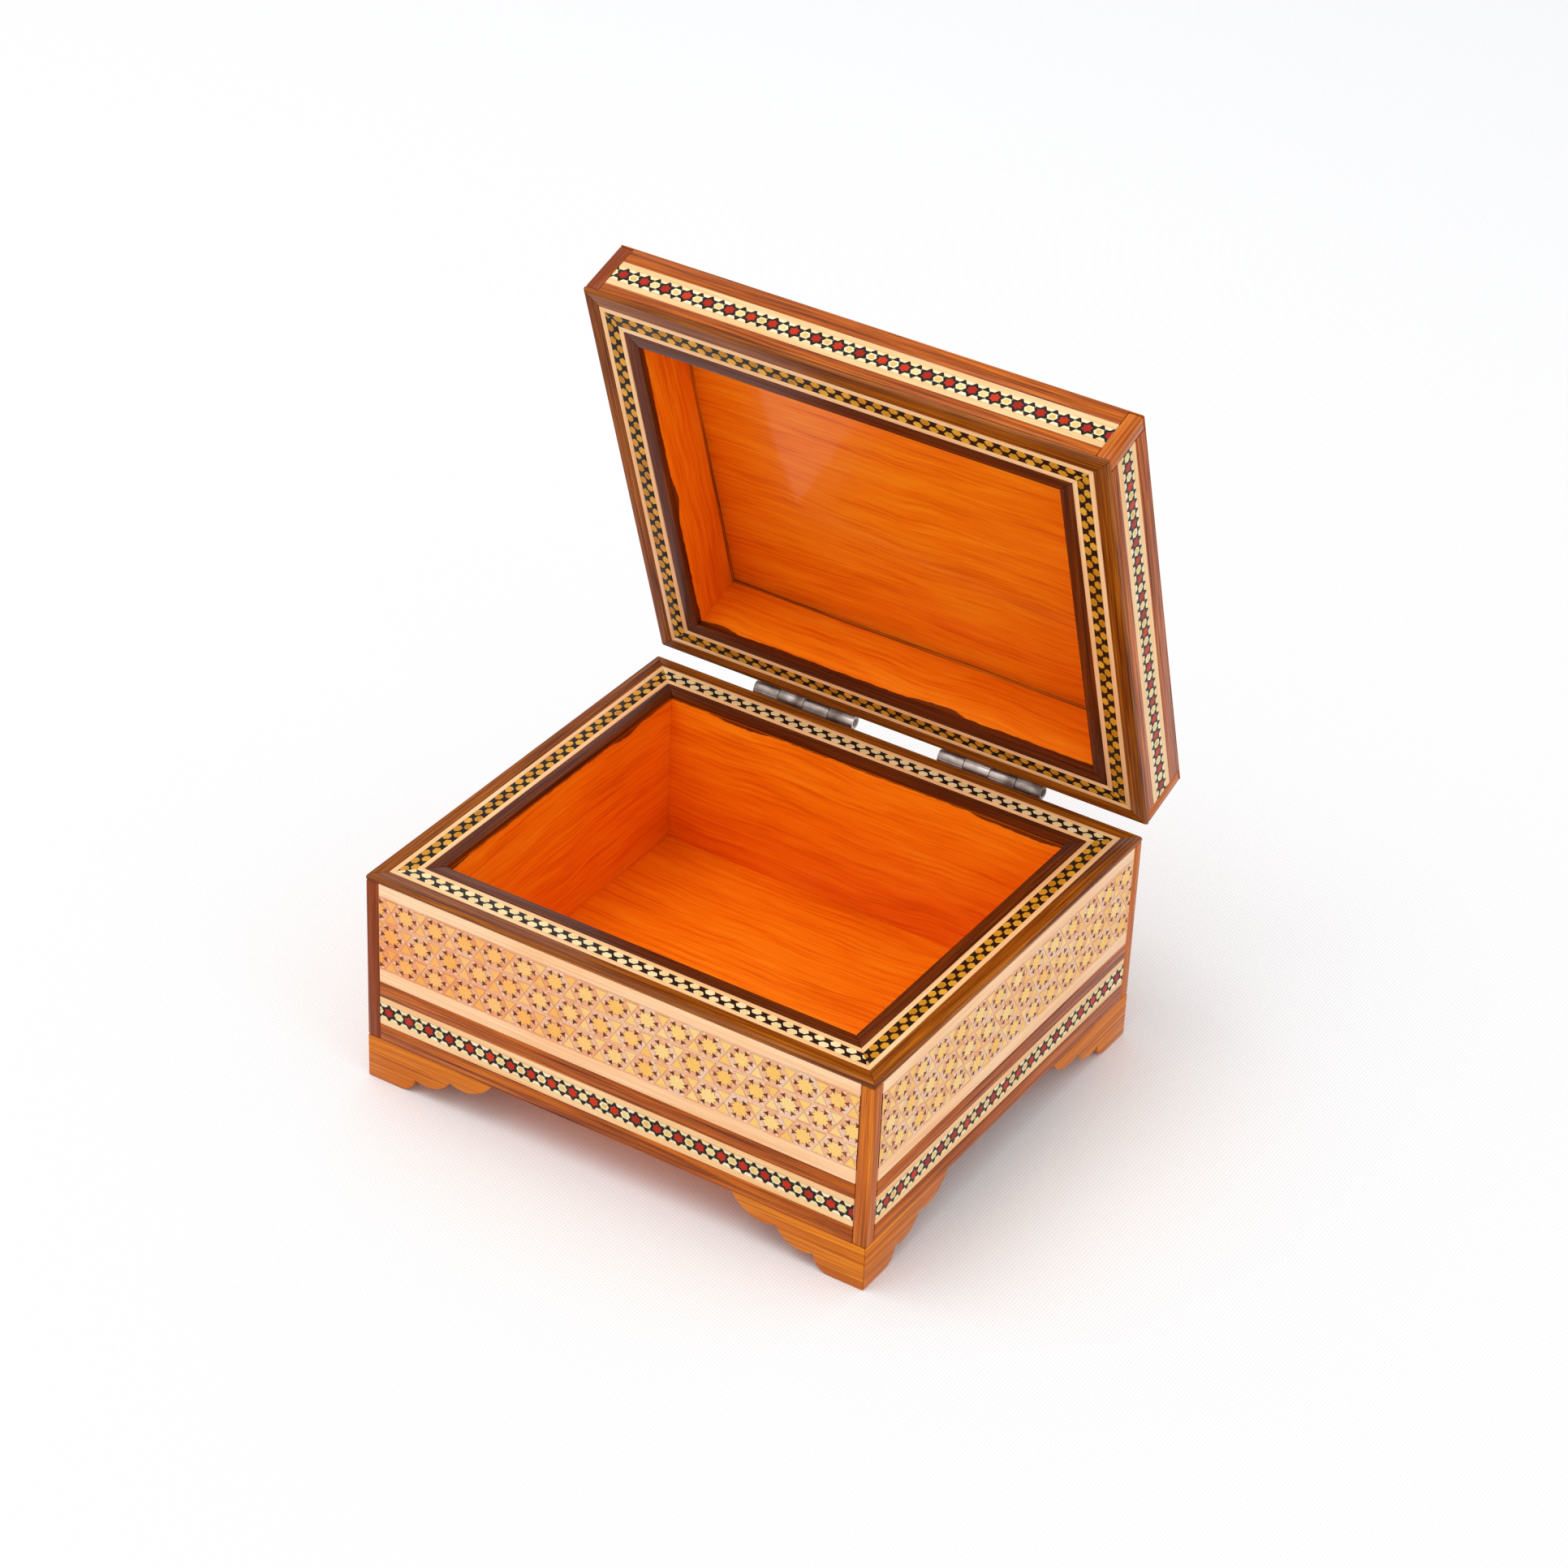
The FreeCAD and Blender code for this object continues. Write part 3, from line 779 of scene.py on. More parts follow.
@dataclass(frozen=True)
class StarMosaic(Mosaic):
    """Red stars in black points, with cream hexagons between them.

    Attributes:
        pitch: From star to star.
        flattened: How much lower the pattern is than a regular one.
        narrowed: How much narrower its stars are.
    """

    pitch: float = 5.06
    flattened: float = 0.86
    narrowed: float = 0.9

    def cell(self) -> bpy.types.Object:
        """A star with half a hexagon's worth of ground on each side."""
        unit = self.pitch / 4
        reach = math.sqrt(3) * unit
        tiles = [
            Bench.tile(12, reach * 1.03, (0, 0), Layer.BODY, Woods.black, waist=0.68),
            Bench.tile(12, unit * 1.04, (0, 0), Layer.CORE, Woods.red, waist=0.74),
        ]
        for star in tiles:
            Bench.resize(star, self.narrowed, 1.0)
        for sign in (-1, 1):
            point = (2 * unit, sign * 1.24 * unit)
            tiles.append(
                Bench.tile(3, unit * 0.72, point, Layer.POINT, Woods.black, turn=90 - 90 * sign)
            )
            for side in (1, 3):
                middle = (side * unit, sign * reach * 1.06)
                tiles.append(Bench.tile(6, unit, middle, Layer.GROUND, Woods.black, turn=30))
                tiles.append(Bench.tile(6, unit * 0.88, middle, Layer.EDGE, Woods.bone, turn=30))
        tiles += [
            Bench.tile(6, unit * 1.02, (2 * unit, 0), Layer.EDGE, Woods.black, turn=30),
            Bench.tile(6, unit * 0.92, (2 * unit, 0), Layer.BODY, Woods.bone, turn=30),
            Bench.tile(6, unit * 0.6, (2 * unit, 0), Layer.POINT, Woods.straw, turn=30),
        ]
        return Bench.join(tiles)


@dataclass(frozen=True)
class ZigzagMosaic(Mosaic):
    """Two staggered rows of hexagons on black, which read as a zigzag.

    Attributes:
        pitch: From hexagon to hexagon in one row.
        flattened: How much lower the hexagons are than regular ones.
        row_rise: How far each row is from the middle, in thirds of the pitch.
        pale: Whether the hexagons are cream with bone edges, as painted glare, or amber all over,
            as painted shade.
    """

    pitch: float = 3.58
    flattened: float = 0.74
    row_rise: float = 0.59
    pale: bool = False

    def cell(self) -> bpy.types.Object:
        """One hexagon of each row."""
        unit = self.pitch / 3
        rise = self.row_rise * unit / self.flattened
        tiles = []
        # Pale hexagons are painted glare; amber hexagons are painted shade.
        edge, heart = (Woods.bone, Woods.cream) if self.pale else (Woods.amber, Woods.amber)
        for middle in ((0.0, rise), (1.5 * unit, -rise)):
            tiles.append(Bench.tile(6, unit * 0.97, middle, Layer.EDGE, edge, turn=30))
            tiles.append(Bench.tile(6, unit * 0.8, middle, Layer.BODY, heart, turn=30))
        return Bench.join(tiles)


@dataclass(frozen=True)
class RosetteMosaic(Mosaic):
    """Rows of toothed rosettes with hourglasses of two triangles between them.

    Attributes:
        pitch: From rosette to rosette in a row.
        row_height: From row to row.
        stagger: How far the second row is set along.
        seam: The glue line inside each triangle, in millimetres.
    """

    pitch: float = 7.29
    row_height: float = 5.93
    stagger: float = 3.645
    seam: float = 0.13

    @property
    def flattened(self) -> float:
        """How much lower a cell is than one of regular hexagons."""
        return self.row_height / (math.sqrt(3) * self.pitch / 2)

    def rows(self, width: float) -> list[tuple[float, float]]:
        """As many rows as fit, every second one set along by half a pitch."""
        count = max(round(width / self.row_height), 1)
        return [
            ((number % 2) * self.stagger, (number - (count - 1) / 2) * width / count)
            for number in range(count)
        ]

    def cell(self) -> bpy.types.Object:
        """One rosette in its hexagon and the hourglass on its right."""
        unit = self.pitch / 2
        face = unit / math.sqrt(3)
        tiles = [
            Bench.tile(24, unit * 0.6, (0, 0), Layer.EDGE, Woods.umber, turn=15, waist=0.78),
            Bench.tile(24, unit * 0.565, (0, 0), Layer.BODY, Woods.gold, turn=15, waist=0.78),
        ]
        for number in range(6):
            out, mid = math.radians(60 * number), math.radians(60 * number + 30)
            middle = (face * math.cos(mid), face * math.sin(mid))
            tiles.append(Bench.tile(3, face, middle, Layer.GROUND, Woods.rose, turn=60 * number))
            turn = 90 + 60 * number
            for radius, reach, sides, waist, layer, finish in (
                (unit * 0.23, 0.6 * unit, 6, 0.36, Layer.POINT, Woods.burnt),
                (unit * 0.06, 0.8 * unit, 4, 1.0, Layer.EDGE, Woods.bone),
            ):
                place = (reach * math.cos(out), reach * math.sin(out))
                tiles.append(Bench.tile(sides, radius, place, layer, finish, turn, waist))
        for sign in (-1, 1):
            turn = 90 + 90 * sign
            line = face * 0.87
            middle = (unit, sign * line)
            tiles += [
                Bench.tile(3, face, (unit, sign * face), Layer.GROUND, Woods.rose, turn=turn),
                Bench.tile(3, line, middle, Layer.EDGE, Woods.umber, turn=turn),
                Bench.tile(3, line - self.seam, middle, Layer.BODY, Woods.gold, turn=turn),
            ]
        return Bench.join(tiles)


class Woods:
    """The woods of the mosaics; each material is made when its first tile is laid."""

    black = TileWood("black_tile", rgb(20, 12, 8), rgb(32, 20, 14), rgb(46, 30, 20), mottle=0.3)
    red = TileWood("red_tile", rgb(164, 26, 2), rgb(190, 38, 2), rgb(208, 54, 6), mottle=0.25)
    bone = TileWood(
        "bone_tile", rgb(240, 216, 160), rgb(246, 228, 178), rgb(252, 238, 202), mottle=0.12
    )
    # Cream: the painted glare on zigzag hexagons on the lit sides.
    cream = TileWood(
        "cream_tile", rgb(238, 208, 140), rgb(244, 220, 160), rgb(248, 230, 180), mottle=0.16
    )
    straw = TileWood(
        "straw_tile", rgb(226, 184, 92), rgb(238, 206, 124), rgb(244, 220, 150), mottle=0.2
    )
    # Amber: the painted shade on zigzag hexagons on the shaded sides.
    amber = TileWood(
        "amber_tile", rgb(188, 122, 18), rgb(212, 148, 36), rgb(230, 172, 62), mottle=0.2
    )
    # Gold and rose tiles carry painted shade towards the left end of the box.
    gold = TileWood(
        "gold_tile", rgb(250, 192, 100), rgb(253, 204, 118), rgb(252, 214, 142), mottle=0.1,
        aged=rgb(255, 196, 150),
    )
    rose = TileWood(
        "rose_tile", rgb(236, 166, 120), rgb(243, 184, 144), rgb(242, 202, 174), mottle=0.14,
        aged=rgb(252, 206, 170),
    )
    umber = TileWood(
        "umber_tile", rgb(104, 56, 30), rgb(132, 76, 42), rgb(166, 102, 62), mottle=0.25
    )
    burnt = TileWood(
        "burnt_tile", rgb(82, 28, 10), rgb(110, 44, 16), rgb(136, 62, 24), mottle=0.25
    )
    dark_ground = TileWood("dark_ground", rgb(28, 16, 10), rgb(34, 20, 12), rgb(40, 24, 14))
    strip_ground = TileWood(
        "strip_ground", rgb(250, 236, 200), rgb(250, 236, 200), rgb(250, 236, 200)
    )


# ---- joinery ---------------------------------------------------------------------------

class Side(Enum):
    """The four sides of the box, anticlockwise from the front, seen from above."""

    FRONT = 0
    RIGHT = 1
    BACK = 2
    LEFT = 3

    @property
    def turn(self) -> Matrix:
        """The turn that brings the front to this side."""
        return Matrix.Rotation(math.radians(90 * self.value), 4, "Z")


def by_side(*values: float) -> dict[Side, float]:
    """One value for each side, from the front round to the left."""
    return dict(zip(Side, values))


class Solids(Enum):
    """How the solids of one CAD node lie to each other."""

    ONE = "one"
    BY_SIDE = "one on each side"
    BY_CORNER = "one at each corner"


class Facing(Enum):
    """Which way the face of an inlaid bar looks, seen from its side of the box."""

    OUTWARD = "outward"
    UPWARD = "upward"
    DOWNWARD = "downward"


@dataclass
class Bar:
    """One straight solid of a CAD node, in millimetres and with the lid closed.

    Attributes:
        piece: Its mesh object.
        low: Its lowest corner.
        high: Its highest corner.
    """

    piece: bpy.types.Object
    low: Vector
    high: Vector

    @property
    def side(self) -> Side:
        """The side of the box that it lies on."""
        middle = (self.low + self.high) / 2
        if abs(middle.x) <= abs(middle.y) + SLACK:
            return Side.BACK if middle.y > SLACK else Side.FRONT
        return Side.RIGHT if middle.x > 0 else Side.LEFT

    def seen_from_side(self) -> tuple[Vector, Vector]:
        """Its corners after its side is turned to the front."""
        back = self.side.turn.inverted()
        first, second = back @ self.low, back @ self.high
        low = Vector(min(first[axis], second[axis]) for axis in range(3))
        return low, first + second - low


class Joinery:
    """Turns CAD nodes into softened pieces with a grain map, and hands them in.

    On the bench the lid is closed and the middle of the base stands at the origin.
    """

    def __init__(self, frame: dict) -> None:
        """Read the hinge, so that lid pieces can be worked on closed."""
        self.nodes = frame["nodes"]
        hinge = frame["joints"][0]
        axis, point = Vector(hinge["axis"]), Vector(hinge["pos_m"])
        swing = Matrix.Rotation(math.radians(hinge["range_deg"][0]), 4, axis)
        closing = Matrix.Translation(point) @ swing @ Matrix.Translation(-point)
        low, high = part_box("base_corner_posts")
        self.middle = Vector(((low.x + high.x) / 2, (low.y + high.y) / 2, 0.0))
        centring = Matrix.Translation(-self.middle)
        self.closed = {hinge["child"]: centring @ closing, hinge["parent"]: centring}

    def planed(self, node: str, softness: float, solids: Solids, lift: bool = True) -> list[Bar]:
        """Copy a CAD node as separate bars with soft edges and a grain map.

        Args:
            node: The CAD node.
            softness: How far its edges are rounded, in millimetres.
            solids: How its solids lie.
            lift: Whether the grain is shifted up too; boards keep their real height in it.

        Returns:
            Its solids, on the bench.
        """
        source = self.nodes[node]
        copy = bpy.data.objects.new(node + "_wood", source.data.copy())
        bpy.context.collection.objects.link(copy)
        copy.data.materials.clear()
        for name in SHADING_DATA:
            if name in copy.data.attributes:
                copy.data.attributes.remove(copy.data.attributes[name])
        copy.data.transform(TO_BENCH @ self.closed[source["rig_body"]])
        bars = []
        for number, part in enumerate(self.parted(copy, solids)):
            Bench.edit(part)
            bpy.ops.mesh.remove_doubles(threshold=WELD)
            bpy.ops.mesh.dissolve_limited(angle_limit=FLAT_WITHIN)
            Bench.close()
            Bench.soften(part, softness)
            draw = random.Random(f"{node}{number}")
            self.map_grain(part, draw.uniform(0, 1), draw.uniform(0, 1) if lift else 0.0)
            bars.append(Bar(part, *extent([Vector(corner) for corner in part.bound_box])))
        return bars

    def closed_box(self, node: str) -> tuple[Vector, Vector]:
        """The corners of a CAD node with the lid closed, in metres."""
        source = self.nodes[node]
        closed = self.closed[source["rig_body"]]
        return extent([closed @ vertex.co for vertex in source.data.vertices])

    @staticmethod
    def parted(piece: bpy.types.Object, solids: Solids) -> list[bpy.types.Object]:
        """Take the solids of a copied node apart, also where they touch.

        Args:
            piece: The copy, its lid closed.
            solids: How its solids lie.

        Returns:
            One object for each solid, in a fixed order.
        """
        if solids is Solids.ONE:
            return [piece]
        corners = np.array([corner[:] for corner in piece.bound_box])
        low, high = corners.min(axis=0), corners.max(axis=0)
        keys = []
        for face in piece.data.polygons:
            inside = np.array(face.center - face.normal * INSIDE)
            if solids is Solids.BY_SIDE:
                room = (
                    inside[1] - low[1], high[0] - inside[0], high[1] - inside[1], inside[0] - low[0]
                )
                keys.append(int(np.argmin(room)))
            else:
                middle = (low + high) / 2
                keys.append(2 * int(inside[0] > middle[0]) + int(inside[1] > middle[1]))
        parts = []
        for key in sorted(set(keys)):
            part = Bench.duplicate(piece)
            Bench.edit(part, "FACE")
            bpy.ops.mesh.select_all(action="DESELECT")
            Bench.close()
            for face, own in zip(part.data.polygons, keys):
                face.select = own != key
            bpy.ops.object.mode_set(mode="EDIT")
            bpy.ops.mesh.delete(type="FACE")
            Bench.close()
            parts.append(part)
        bpy.data.objects.remove(piece)
        return parts

    @staticmethod
    def map_grain(piece: bpy.types.Object, along_shift: float, across_shift: float) -> None:
        """Unwrap a piece in metres, its long way along the grain."""
        mesh = piece.data
        points = np.empty(len(mesh.vertices) * 3)
        mesh.vertices.foreach_get("co", points)
        points = points.reshape(-1, 3) * MM
        long = int(np.argmax(np.ptp(points, axis=0)))
        layer = mesh.uv_layers.new(name=GRAIN_MAP)
        for face in mesh.polygons:
            flat = max(range(3), key=lambda axis: abs(face.normal[axis]))
            first, second = [axis for axis in range(3) if axis != flat]
            if second == long:
                first, second = second, first
            for loop in face.loop_indices:
                spot = points[mesh.loops[loop].vertex_index]
                layer.data[loop].uv = (spot[first] + along_shift, spot[second] + across_shift)

    def hand_in(
        self, pieces: Sequence[bpy.types.Object], node: str
    ) -> bpy.types.Object:
        """Join pieces, take them back to rest and let them stand for their CAD node.

        Returns:
            The finished piece.
        """
        body = self.nodes[node]["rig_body"]
        piece = Bench.join(list(pieces))
        piece.name = piece.data.name = node + "_wood"
        piece.data.transform(self.closed[body].inverted() @ FROM_BENCH)
        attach(piece, body)
        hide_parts(node)
        LOG.info("%s: %d faces", piece.name, len(piece.data.polygons))
        return piece

    def plain(
        self, node: str, slot: str, finish: Finish, softness: float,
        solids: Solids = Solids.BY_SIDE, lift: bool = True,
    ) -> None:
        """A CAD node in one wood."""
        bars = self.planed(node, softness, solids, lift)
        for bar in bars:
            bar.piece.data.materials.append(finish.material())
        self.hand_in([bar.piece for bar in bars], node)

    def inlaid(
        self, node: str, slot: str, ground: Finish, pattern: Callable[[Side], Mosaic],
        facing: Facing, phases: dict[Side, float], solids: Solids = Solids.BY_SIDE,
    ) -> None:
        """A CAD node whose bars carry a mosaic.

        Args:
            node: The CAD node.
            slot: Its material slot, not used.
            ground: The wood under the tiles.
            pattern: The mosaic of each side.
            facing: Which way its bars look.
            phases: How far the pattern is shifted on each side.
            solids: How its solids lie.
        """
        pieces = []
        for bar in self.planed(node, GROUND_SOFTNESS, solids):
            bar.piece.data.materials.append(ground.material())
            low, high = bar.seen_from_side()
            middle, size = (low + high) / 2, high - low
            if facing is Facing.OUTWARD:
                columns = ((1, 0, 0), (0, 0, 1), (0, -1, 0))
                place = Vector((middle.x, low.y, middle.z))
                trim = Trim(size.x, size.z, False)
            elif facing is Facing.UPWARD:
                columns = ((1, 0, 0), (0, 1, 0), (0, 0, 1))
                place = Vector((middle.x, middle.y, high.z))
                trim = Trim(size.x, size.y, solids is Solids.BY_SIDE)
            else:
                columns = ((-1, 0, 0), (0, 1, 0), (0, 0, -1))
                place = Vector((middle.x, middle.y, low.z))
                trim = Trim(size.x, size.y, True)
            basis = Matrix(columns).transposed().to_4x4()
            sink = bar.side.turn @ (basis @ Vector((0, 0, -Layer.CORE.value)))
            tiles = pattern(bar.side).run(trim, phases.get(bar.side, 0.0))
            tone_tiles(tiles, f"{node}{bar.side.name}")
            bar.piece.data.transform(Matrix.Translation(sink))
            tiles.data.transform(
                Matrix.Translation(sink) @ bar.side.turn @ Matrix.Translation(place) @ basis
            )
            pieces += [bar.piece, tiles]
        self.hand_in(pieces, node)

    def metal(self, node: str, finish: Finish) -> None:
        """A CAD node that keeps its mesh and takes a finish."""
        for slot in self.nodes[node].material_slots:
            slot.material = finish.material()
        LOG.info("%s: kept, dressed in %s", node, finish.name)


# ---- the box ---------------------------------------------------------------------------

@dataclass
class Carcass:
    """The boards, floor and ceiling of both shells, lacquered orange inside.

    Attributes:
        joinery: The workshop.
        softness: How far edges are rounded, in millimetres.
        panel_softness: The same for the floor and the ceiling.
    """

    joinery: Joinery
    softness: float = 0.12
    panel_softness: float = 0.03

    @staticmethod
    def finish(
        name: str, smear_level: float | None = None, smear_above: bool = True
    ) -> LacqueredWood:
        """Orange lacquer over beech, stained at the rim where a level is given."""
        return LacqueredWood(
            name, rgb(232, 104, 2), rgb(252, 128, 8), rgb(255, 150, 22), rgb(214, 80, 1),
            streak_share=0.4, grain_length=22 * MM, grain_width=0.7 * MM, figure_length=34 * MM,
            figure_width=5 * MM, waviness=3.0 * MM, pore_depth=0.015 * MM, roughness=0.34,
            smear_level=smear_level, smear_above=smear_above,
        )

    def build(self) -> None:
        """Make the boards and panels."""
        rim = self.joinery.closed_box("base_rim_inner_border")[0].z
        lid_rim = self.joinery.closed_box("lid_rim_inner_border")[1].z
        for side in ("front", "right", "back", "left"):
            for shell, level, above in (("base", rim, True), ("lid", lid_rim, False)):
                finish = self.finish(f"orange_lacquer_{shell}_boards", level, above)
                self.joinery.plain(
                    f"{shell}_{side}_board", "lacquered_carcass", finish, self.softness,
                    Solids.ONE, lift=False,
                )
        for node in ("base_floor", "lid_ceiling_panel"):
            self.joinery.plain(
                node, "lacquered_carcass", self.finish("orange_lacquer_panels"),
                self.panel_softness, Solids.ONE,
            )


@dataclass
class Facings:
    """The strips and mosaics on the outside of both shells.

    Attributes:
        joinery: The workshop.
        softness: How far edges are rounded, in millimetres.
        post_softness: The same for the corner posts.
    """

    joinery: Joinery
    softness: float = 0.13
    post_softness: float = 0.45

    walnut = LacqueredWood(
        "walnut", rgb(92, 34, 4), rgb(172, 80, 8), rgb(212, 112, 16), rgb(52, 18, 3),
        streak_share=0.75, grain_width=0.5 * MM, figure_width=1.8 * MM, lacquer=0.16,
    )
    maple = LacqueredWood(
        "maple", rgb(244, 184, 130), rgb(252, 202, 152), rgb(254, 218, 178), rgb(230, 162, 106),
        streak_share=0.3, grain_width=0.5 * MM, roughness=0.4,
    )
    stringing = LacqueredWood(
        "pale_stringing", rgb(238, 180, 118), rgb(248, 198, 140), rgb(252, 214, 166),
        rgb(214, 148, 88), streak_share=0.3, grain_width=0.35 * MM, roughness=0.4,
    )
    edging = LacqueredWood(
        "edging_wood", rgb(146, 66, 4), rgb(196, 96, 8), rgb(224, 128, 22), rgb(98, 38, 3),
        streak_share=0.6, grain_width=0.45 * MM, figure_width=1.5 * MM, lacquer=0.18,
        # The edging is multiplied darker at the left end of the box.
        left_end_darkening=rgb(178, 150, 140),
    )

    def build(self) -> None:
        """Make the posts, strips and bands."""
        for shell in ("base", "lid"):
            self.joinery.plain(
                f"{shell}_corner_posts", "edging_wood", self.edging, self.post_softness,
                Solids.BY_CORNER,
            )
        for node in (
            "base_lower_walnut_strips", "base_middle_walnut_strips", "lid_edge_walnut_strips",
            "lid_upper_walnut_strips",
        ):
            self.joinery.plain(node, "walnut", self.walnut, self.softness)
        for node in ("base_lower_maple_strips", "base_upper_maple_strips"):
            self.joinery.plain(node, "maple", self.maple, self.softness)
        for shell in ("base", "lid"):
            for height in ("lower", "upper"):
                node = f"{shell}_{height}_stringing"
                self.joinery.plain(node, "stringing", self.stringing, self.softness)
            self.joinery.inlaid(
                f"{shell}_star_bands", "star_mosaic", Woods.strip_ground,
                lambda side: StarMosaic(), Facing.OUTWARD,
                by_side(1.1, 0.6, -0.8, 1.9),
            )
        self.joinery.inlaid(
            "base_rosette_panels", "rosette_mosaic", Woods.dark_ground,
            lambda side: RosetteMosaic(), Facing.OUTWARD,
            by_side(0.93, 2.2, -1.4, 3.0),
        )


@dataclass
class Rims:
    """The mitred rings where the shells meet, and the ring and field on top of the lid.

    Attributes:
        joinery: The workshop.
        softness: How far edges are rounded, in millimetres.
        border_softness: The same for the broad walnut borders.
    """

    joinery: Joinery
    softness: float = 0.1
    border_softness: float = 0.22

    outer = LacqueredWood(
        "rim_walnut", rgb(82, 32, 4), rgb(138, 70, 9), rgb(180, 102, 18), rgb(48, 16, 3),
        streak_share=0.8, grain_width=0.45 * MM, figure_width=1.5 * MM, lacquer=0.13,
    )
    inner = LacqueredWood(
        "rim_walnut_stained", rgb(58, 18, 4), rgb(90, 36, 7), rgb(122, 56, 12), rgb(38, 12, 3),
        streak_share=0.6, grain_width=0.45 * MM, figure_width=1.5 * MM, lacquer=0.14,
    )

    @staticmethod
    def zigzag(*pale: Side) -> Callable[[Side], Mosaic]:
        """Zigzags with the painted glare of pale hexagons on the given sides and the painted shade
        of amber ones on the others.
        """
        return lambda side: ZigzagMosaic(pale=side in pale)

    def build(self) -> None:
        """Make the rings."""
        # Painted glare on the base ring's front and back zigzags; painted shade on its other sides
        # and under the lid.
        for shell, facing, zigzag in (
            ("base", Facing.UPWARD, self.zigzag(Side.FRONT, Side.BACK)),
            ("lid", Facing.DOWNWARD, self.zigzag()),
        ):
            rim = f"{shell}_rim_"
            self.joinery.plain(rim + "outer_border", "rim_walnut", self.outer, self.border_softness)
            self.joinery.plain(rim + "inner_border", "rim_walnut", self.inner, self.border_softness)
            for place in ("outer", "inner"):
                node = f"{rim}{place}_stringing"
                self.joinery.plain(node, "stringing", Facings.stringing, self.softness)
            self.joinery.inlaid(
                rim + "zigzag", "zigzag_mosaic", Woods.dark_ground, zigzag, facing,
                by_side(0.4, 0.9, -0.5, 1.2),
            )
        self.joinery.plain("lid_bevel_border", "walnut", Facings.walnut, self.border_softness)
        for place in ("outer", "inner"):
            node = f"lid_top_{place}_stringing"
            self.joinery.plain(node, "stringing", Facings.stringing, self.softness)
        # Painted glare on every side of the zigzag on top of the lid.
        self.joinery.inlaid(
            "lid_top_zigzag", "zigzag_mosaic", Woods.dark_ground, self.zigzag(*Side), Facing.UPWARD,
            by_side(0.2, 0.7, -0.3, 1.0),
        )
        self.joinery.inlaid(
            "lid_top_rosette_field", "rosette_mosaic", Woods.dark_ground,
            lambda side: RosetteMosaic(), Facing.UPWARD, {}, Solids.ONE,
        )


@dataclass
class Feet:
    """The eight scalloped brackets.

    Attributes:
        joinery: The workshop.
        softness: How far edges are rounded, in millimetres.
    """

    joinery: Joinery
    softness: float = 0.3

    wood = LacqueredWood(
        "foot_wood", rgb(170, 82, 4), rgb(212, 112, 10), rgb(234, 142, 26), rgb(120, 50, 4),
        streak_share=0.6, grain_length=40 * MM, grain_width=0.5 * MM, figure_width=1.8 * MM,
        lacquer=0.18,
    )

    def build(self) -> None:
        """Make the brackets."""
        for first, second in (
            ("front", "left"), ("front", "right"), ("right", "front"), ("right", "back"),
            ("back", "right"), ("back", "left"), ("left", "back"), ("left", "front"),
        ):
            self.joinery.plain(
                f"foot_{first}_{second}", "foot_wood", self.wood, self.softness, Solids.ONE
            )


@dataclass
class Hinges:
    """Two rolled steel hinges with their pins and screws.

    Attributes:
        joinery: The workshop.
        softness: How far edges are rounded, in millimetres.
    """

    joinery: Joinery
    softness: float = 0.2

    def build(self) -> None:
        """Dress the hinge nodes."""
        leaf = TarnishedSteel("hinge_steel")
        pin = TarnishedSteel("pin_steel", rgb(150, 140, 134), rgb(84, 70, 62), 0.4)
        screw = TarnishedSteel("screw_steel", rgb(206, 198, 186), rgb(120, 104, 90), 0.35)
        for hand in ("left", "right"):
            for shell in ("base", "lid"):
                self.joinery.plain(
                    f"{shell}_hinge_leaf_{hand}", "hinge_steel", leaf, self.softness, Solids.ONE
                )
            self.joinery.metal(f"hinge_pin_{hand}", pin)
        for shell in ("base", "lid"):
            self.joinery.metal(f"{shell}_hinge_screws", screw)


# ---- the studio ------------------------------------------------------------------------

@dataclass(frozen=True)
class Viewpoint:
    """Where the camera stands, seen from the middle of the feet.

    Attributes:
        azimuth: Its bearing in degrees; 0 looks along +Y.
        elevation: Its height in degrees above the horizon.
        roll: How far it is tipped, in degrees.
        distance: How far off it is, in metres.
        aside: How far it is moved to its right, in metres.
        up: How far it is moved up its own picture, in metres.
        lens: Its focal length in millimetres.
    """

    azimuth: float = 31.37
    elevation: float = 33.10
    roll: float = 2.60
    distance: float = 0.9255
    aside: float = 0.00695
    up: float = 0.0561
    lens: float = 102.0

    def build(self, middle: Vector) -> None:
        """Stand the camera round this point."""
        turn, rise, tip = (math.radians(a) for a in (self.azimuth, self.elevation, self.roll))
        back = Vector(
            (math.sin(turn) * math.cos(rise), -math.cos(turn) * math.cos(rise), math.sin(rise))
        )
        level = Vector((0, 0, 1)).cross(back).normalized()
        upright = back.cross(level)
        right = math.cos(tip) * level + math.sin(tip) * upright
        above = math.cos(tip) * upright - math.sin(tip) * level
        lens = bpy.data.cameras.new("camera")
        lens.lens = self.lens
        lens.clip_start = 0.02
        camera = bpy.data.objects.new("camera", lens)
        bpy.context.collection.objects.link(camera)
        place = middle + back * self.distance + right * self.aside + above * self.up
        basis = Matrix((right, above, back)).transposed().to_4x4()
        camera.matrix_world = Matrix.Translation(place) @ basis
        bpy.context.scene.camera = camera


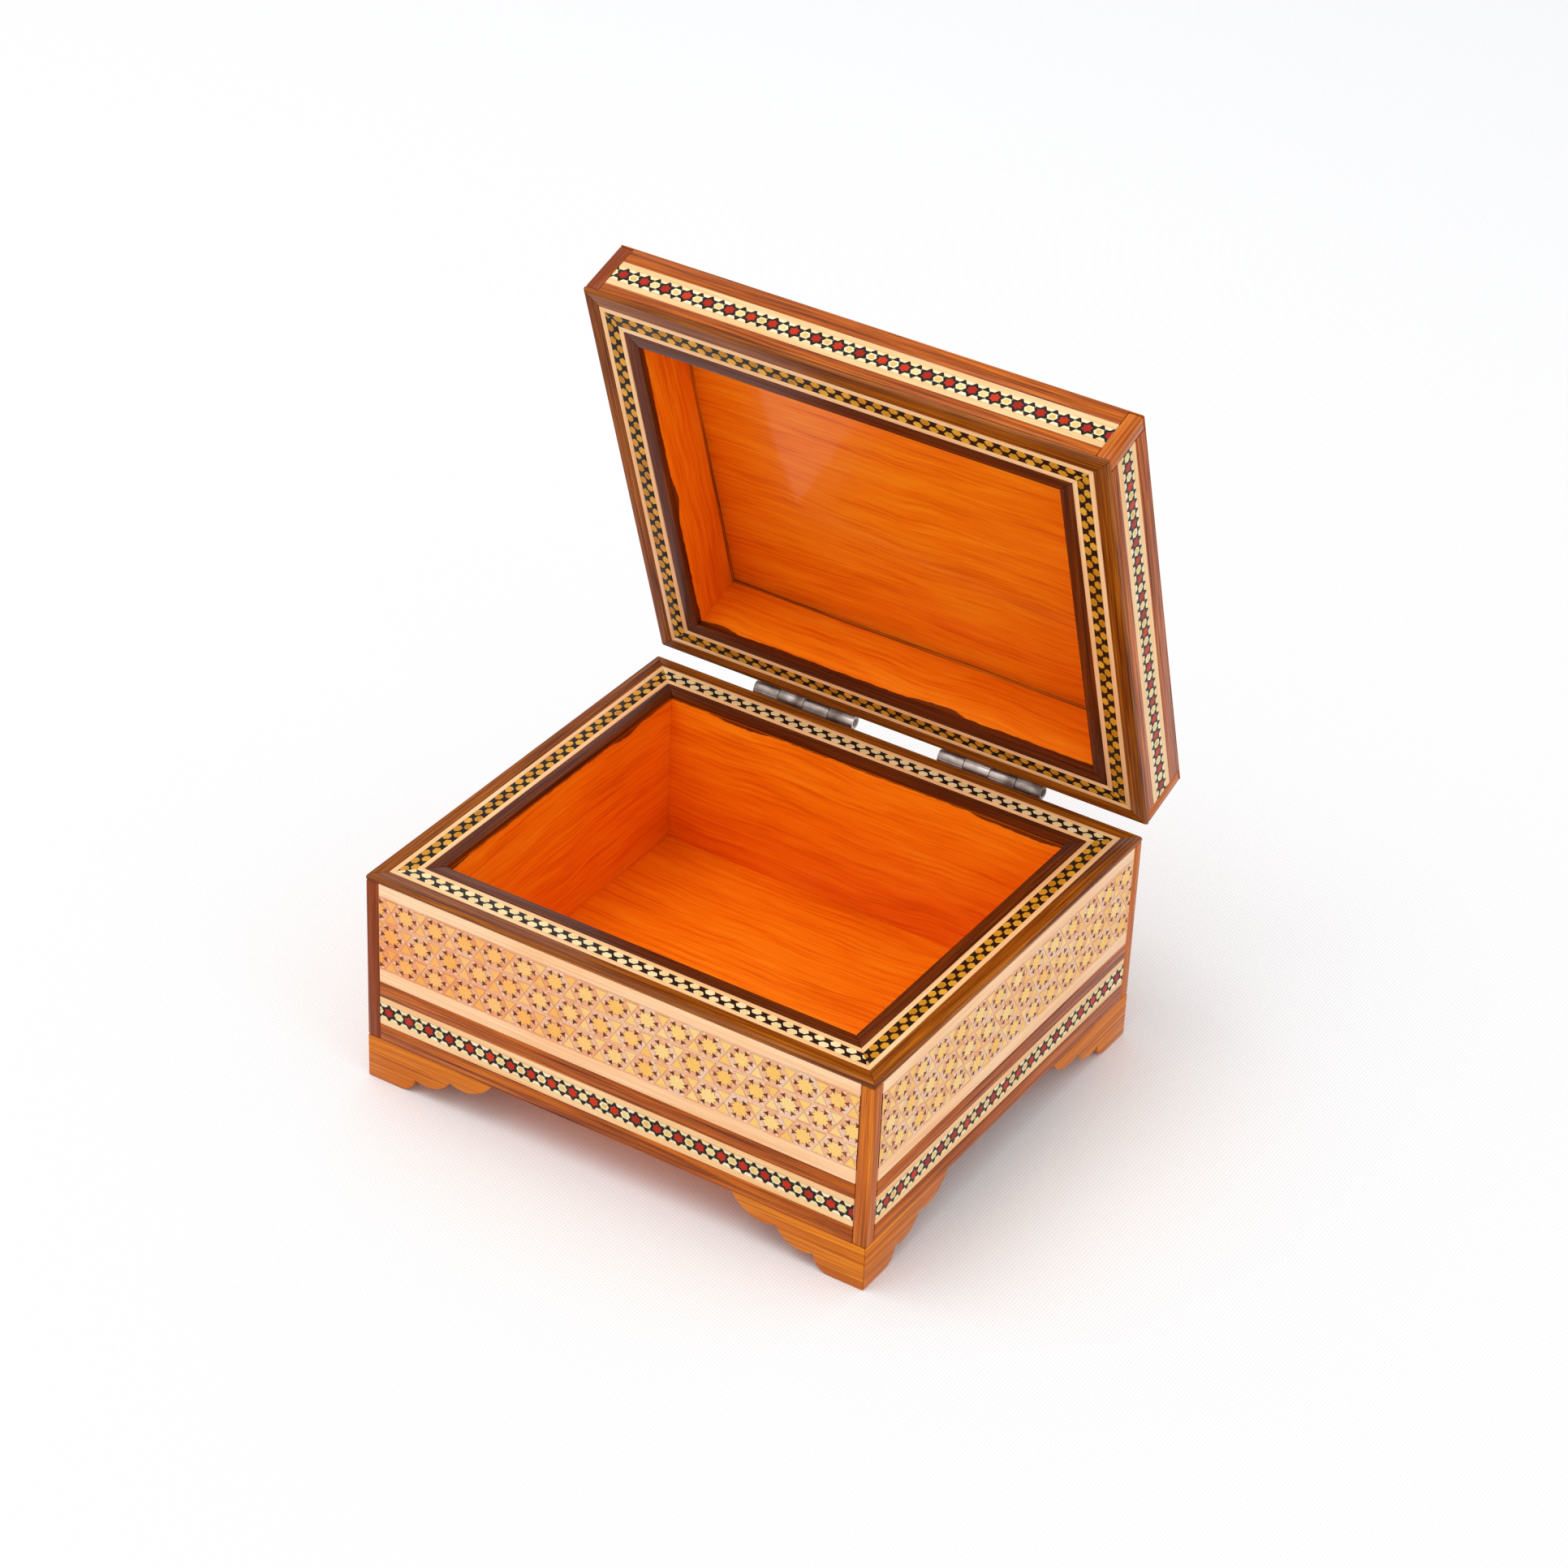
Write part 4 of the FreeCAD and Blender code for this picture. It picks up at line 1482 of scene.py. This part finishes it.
@dataclass(frozen=True)
class Lamp:
    """A soft square light.

    Attributes:
        name: Its name.
        place: Where it hangs.
        size: Its side in metres.
        power: Its power in watts.
        color: Its tint.
    """

    name: str
    place: tuple[float, float, float]
    size: float
    power: float
    color: Color = (1.0, 1.0, 1.0)

    def build(self, aim: Vector) -> None:
        """Hang the light so that it looks at a point."""
        light = bpy.data.lights.new(self.name, "AREA")
        light.size = self.size
        light.energy = self.power
        light.color = self.color
        lamp = bpy.data.objects.new(self.name, light)
        bpy.context.collection.objects.link(lamp)
        lamp.location = self.place
        lamp.rotation_euler = (Vector(self.place) - aim).to_track_quat("Z", "Y").to_euler()


@dataclass
class Studio:
    """Pale ground, white surroundings and soft lights.

    Attributes:
        reach: Half the side of the ground, in metres.
        surround: The brightness of the surroundings.
        aim: What the lamps look at.
    """

    reach: float = 3.0
    surround: float = 0.86
    aim: tuple[float, float, float] = (0.0, 0.0, 0.05)

    lamps = (
        Lamp("overhead_softbox", (-0.3, -0.3, 1.2), 0.9, 5.6),
        Lamp("side_softbox", (1.2, -0.4, 0.8), 0.5, 1.2),
    )

    def build(self) -> None:
        """Set the ground, the surroundings, the lights and the picture's tones."""
        bpy.ops.object.select_all(action="DESELECT")
        bpy.ops.mesh.primitive_plane_add(size=2 * self.reach)
        ground = bpy.context.object
        ground.name = "ground"
        ground.data.materials.append(PaleCloth("pale_cloth").material())
        ground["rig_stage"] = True
        world = bpy.data.worlds.new("white_surroundings")
        bpy.context.scene.world = world
        world.use_nodes = True
        background = world.node_tree.nodes["Background"]
        background.inputs["Color"].default_value = (1.0, 1.0, 1.0, 1.0)
        background.inputs["Strength"].default_value = self.surround
        for lamp in self.lamps:
            lamp.build(Vector(self.aim))
        bpy.context.scene.view_settings.view_transform = "Standard"


def main() -> tuple[Vector, Vector]:
    """Build the box and its studio.

    Returns:
        The corners of the CAD model's box.
    """
    logging.basicConfig(level=logging.INFO, format="%(name)s: %(message)s")
    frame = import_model()
    cad_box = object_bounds()
    joinery = Joinery(frame)
    for assembly in (Carcass, Facings, Rims, Feet, Hinges):
        assembly(joinery).build()
        LOG.info("%s done", assembly.__name__)
    Viewpoint().build(joinery.middle)
    Studio().build()
    return cad_box


if __name__ == "__main__":
    box_before = main()
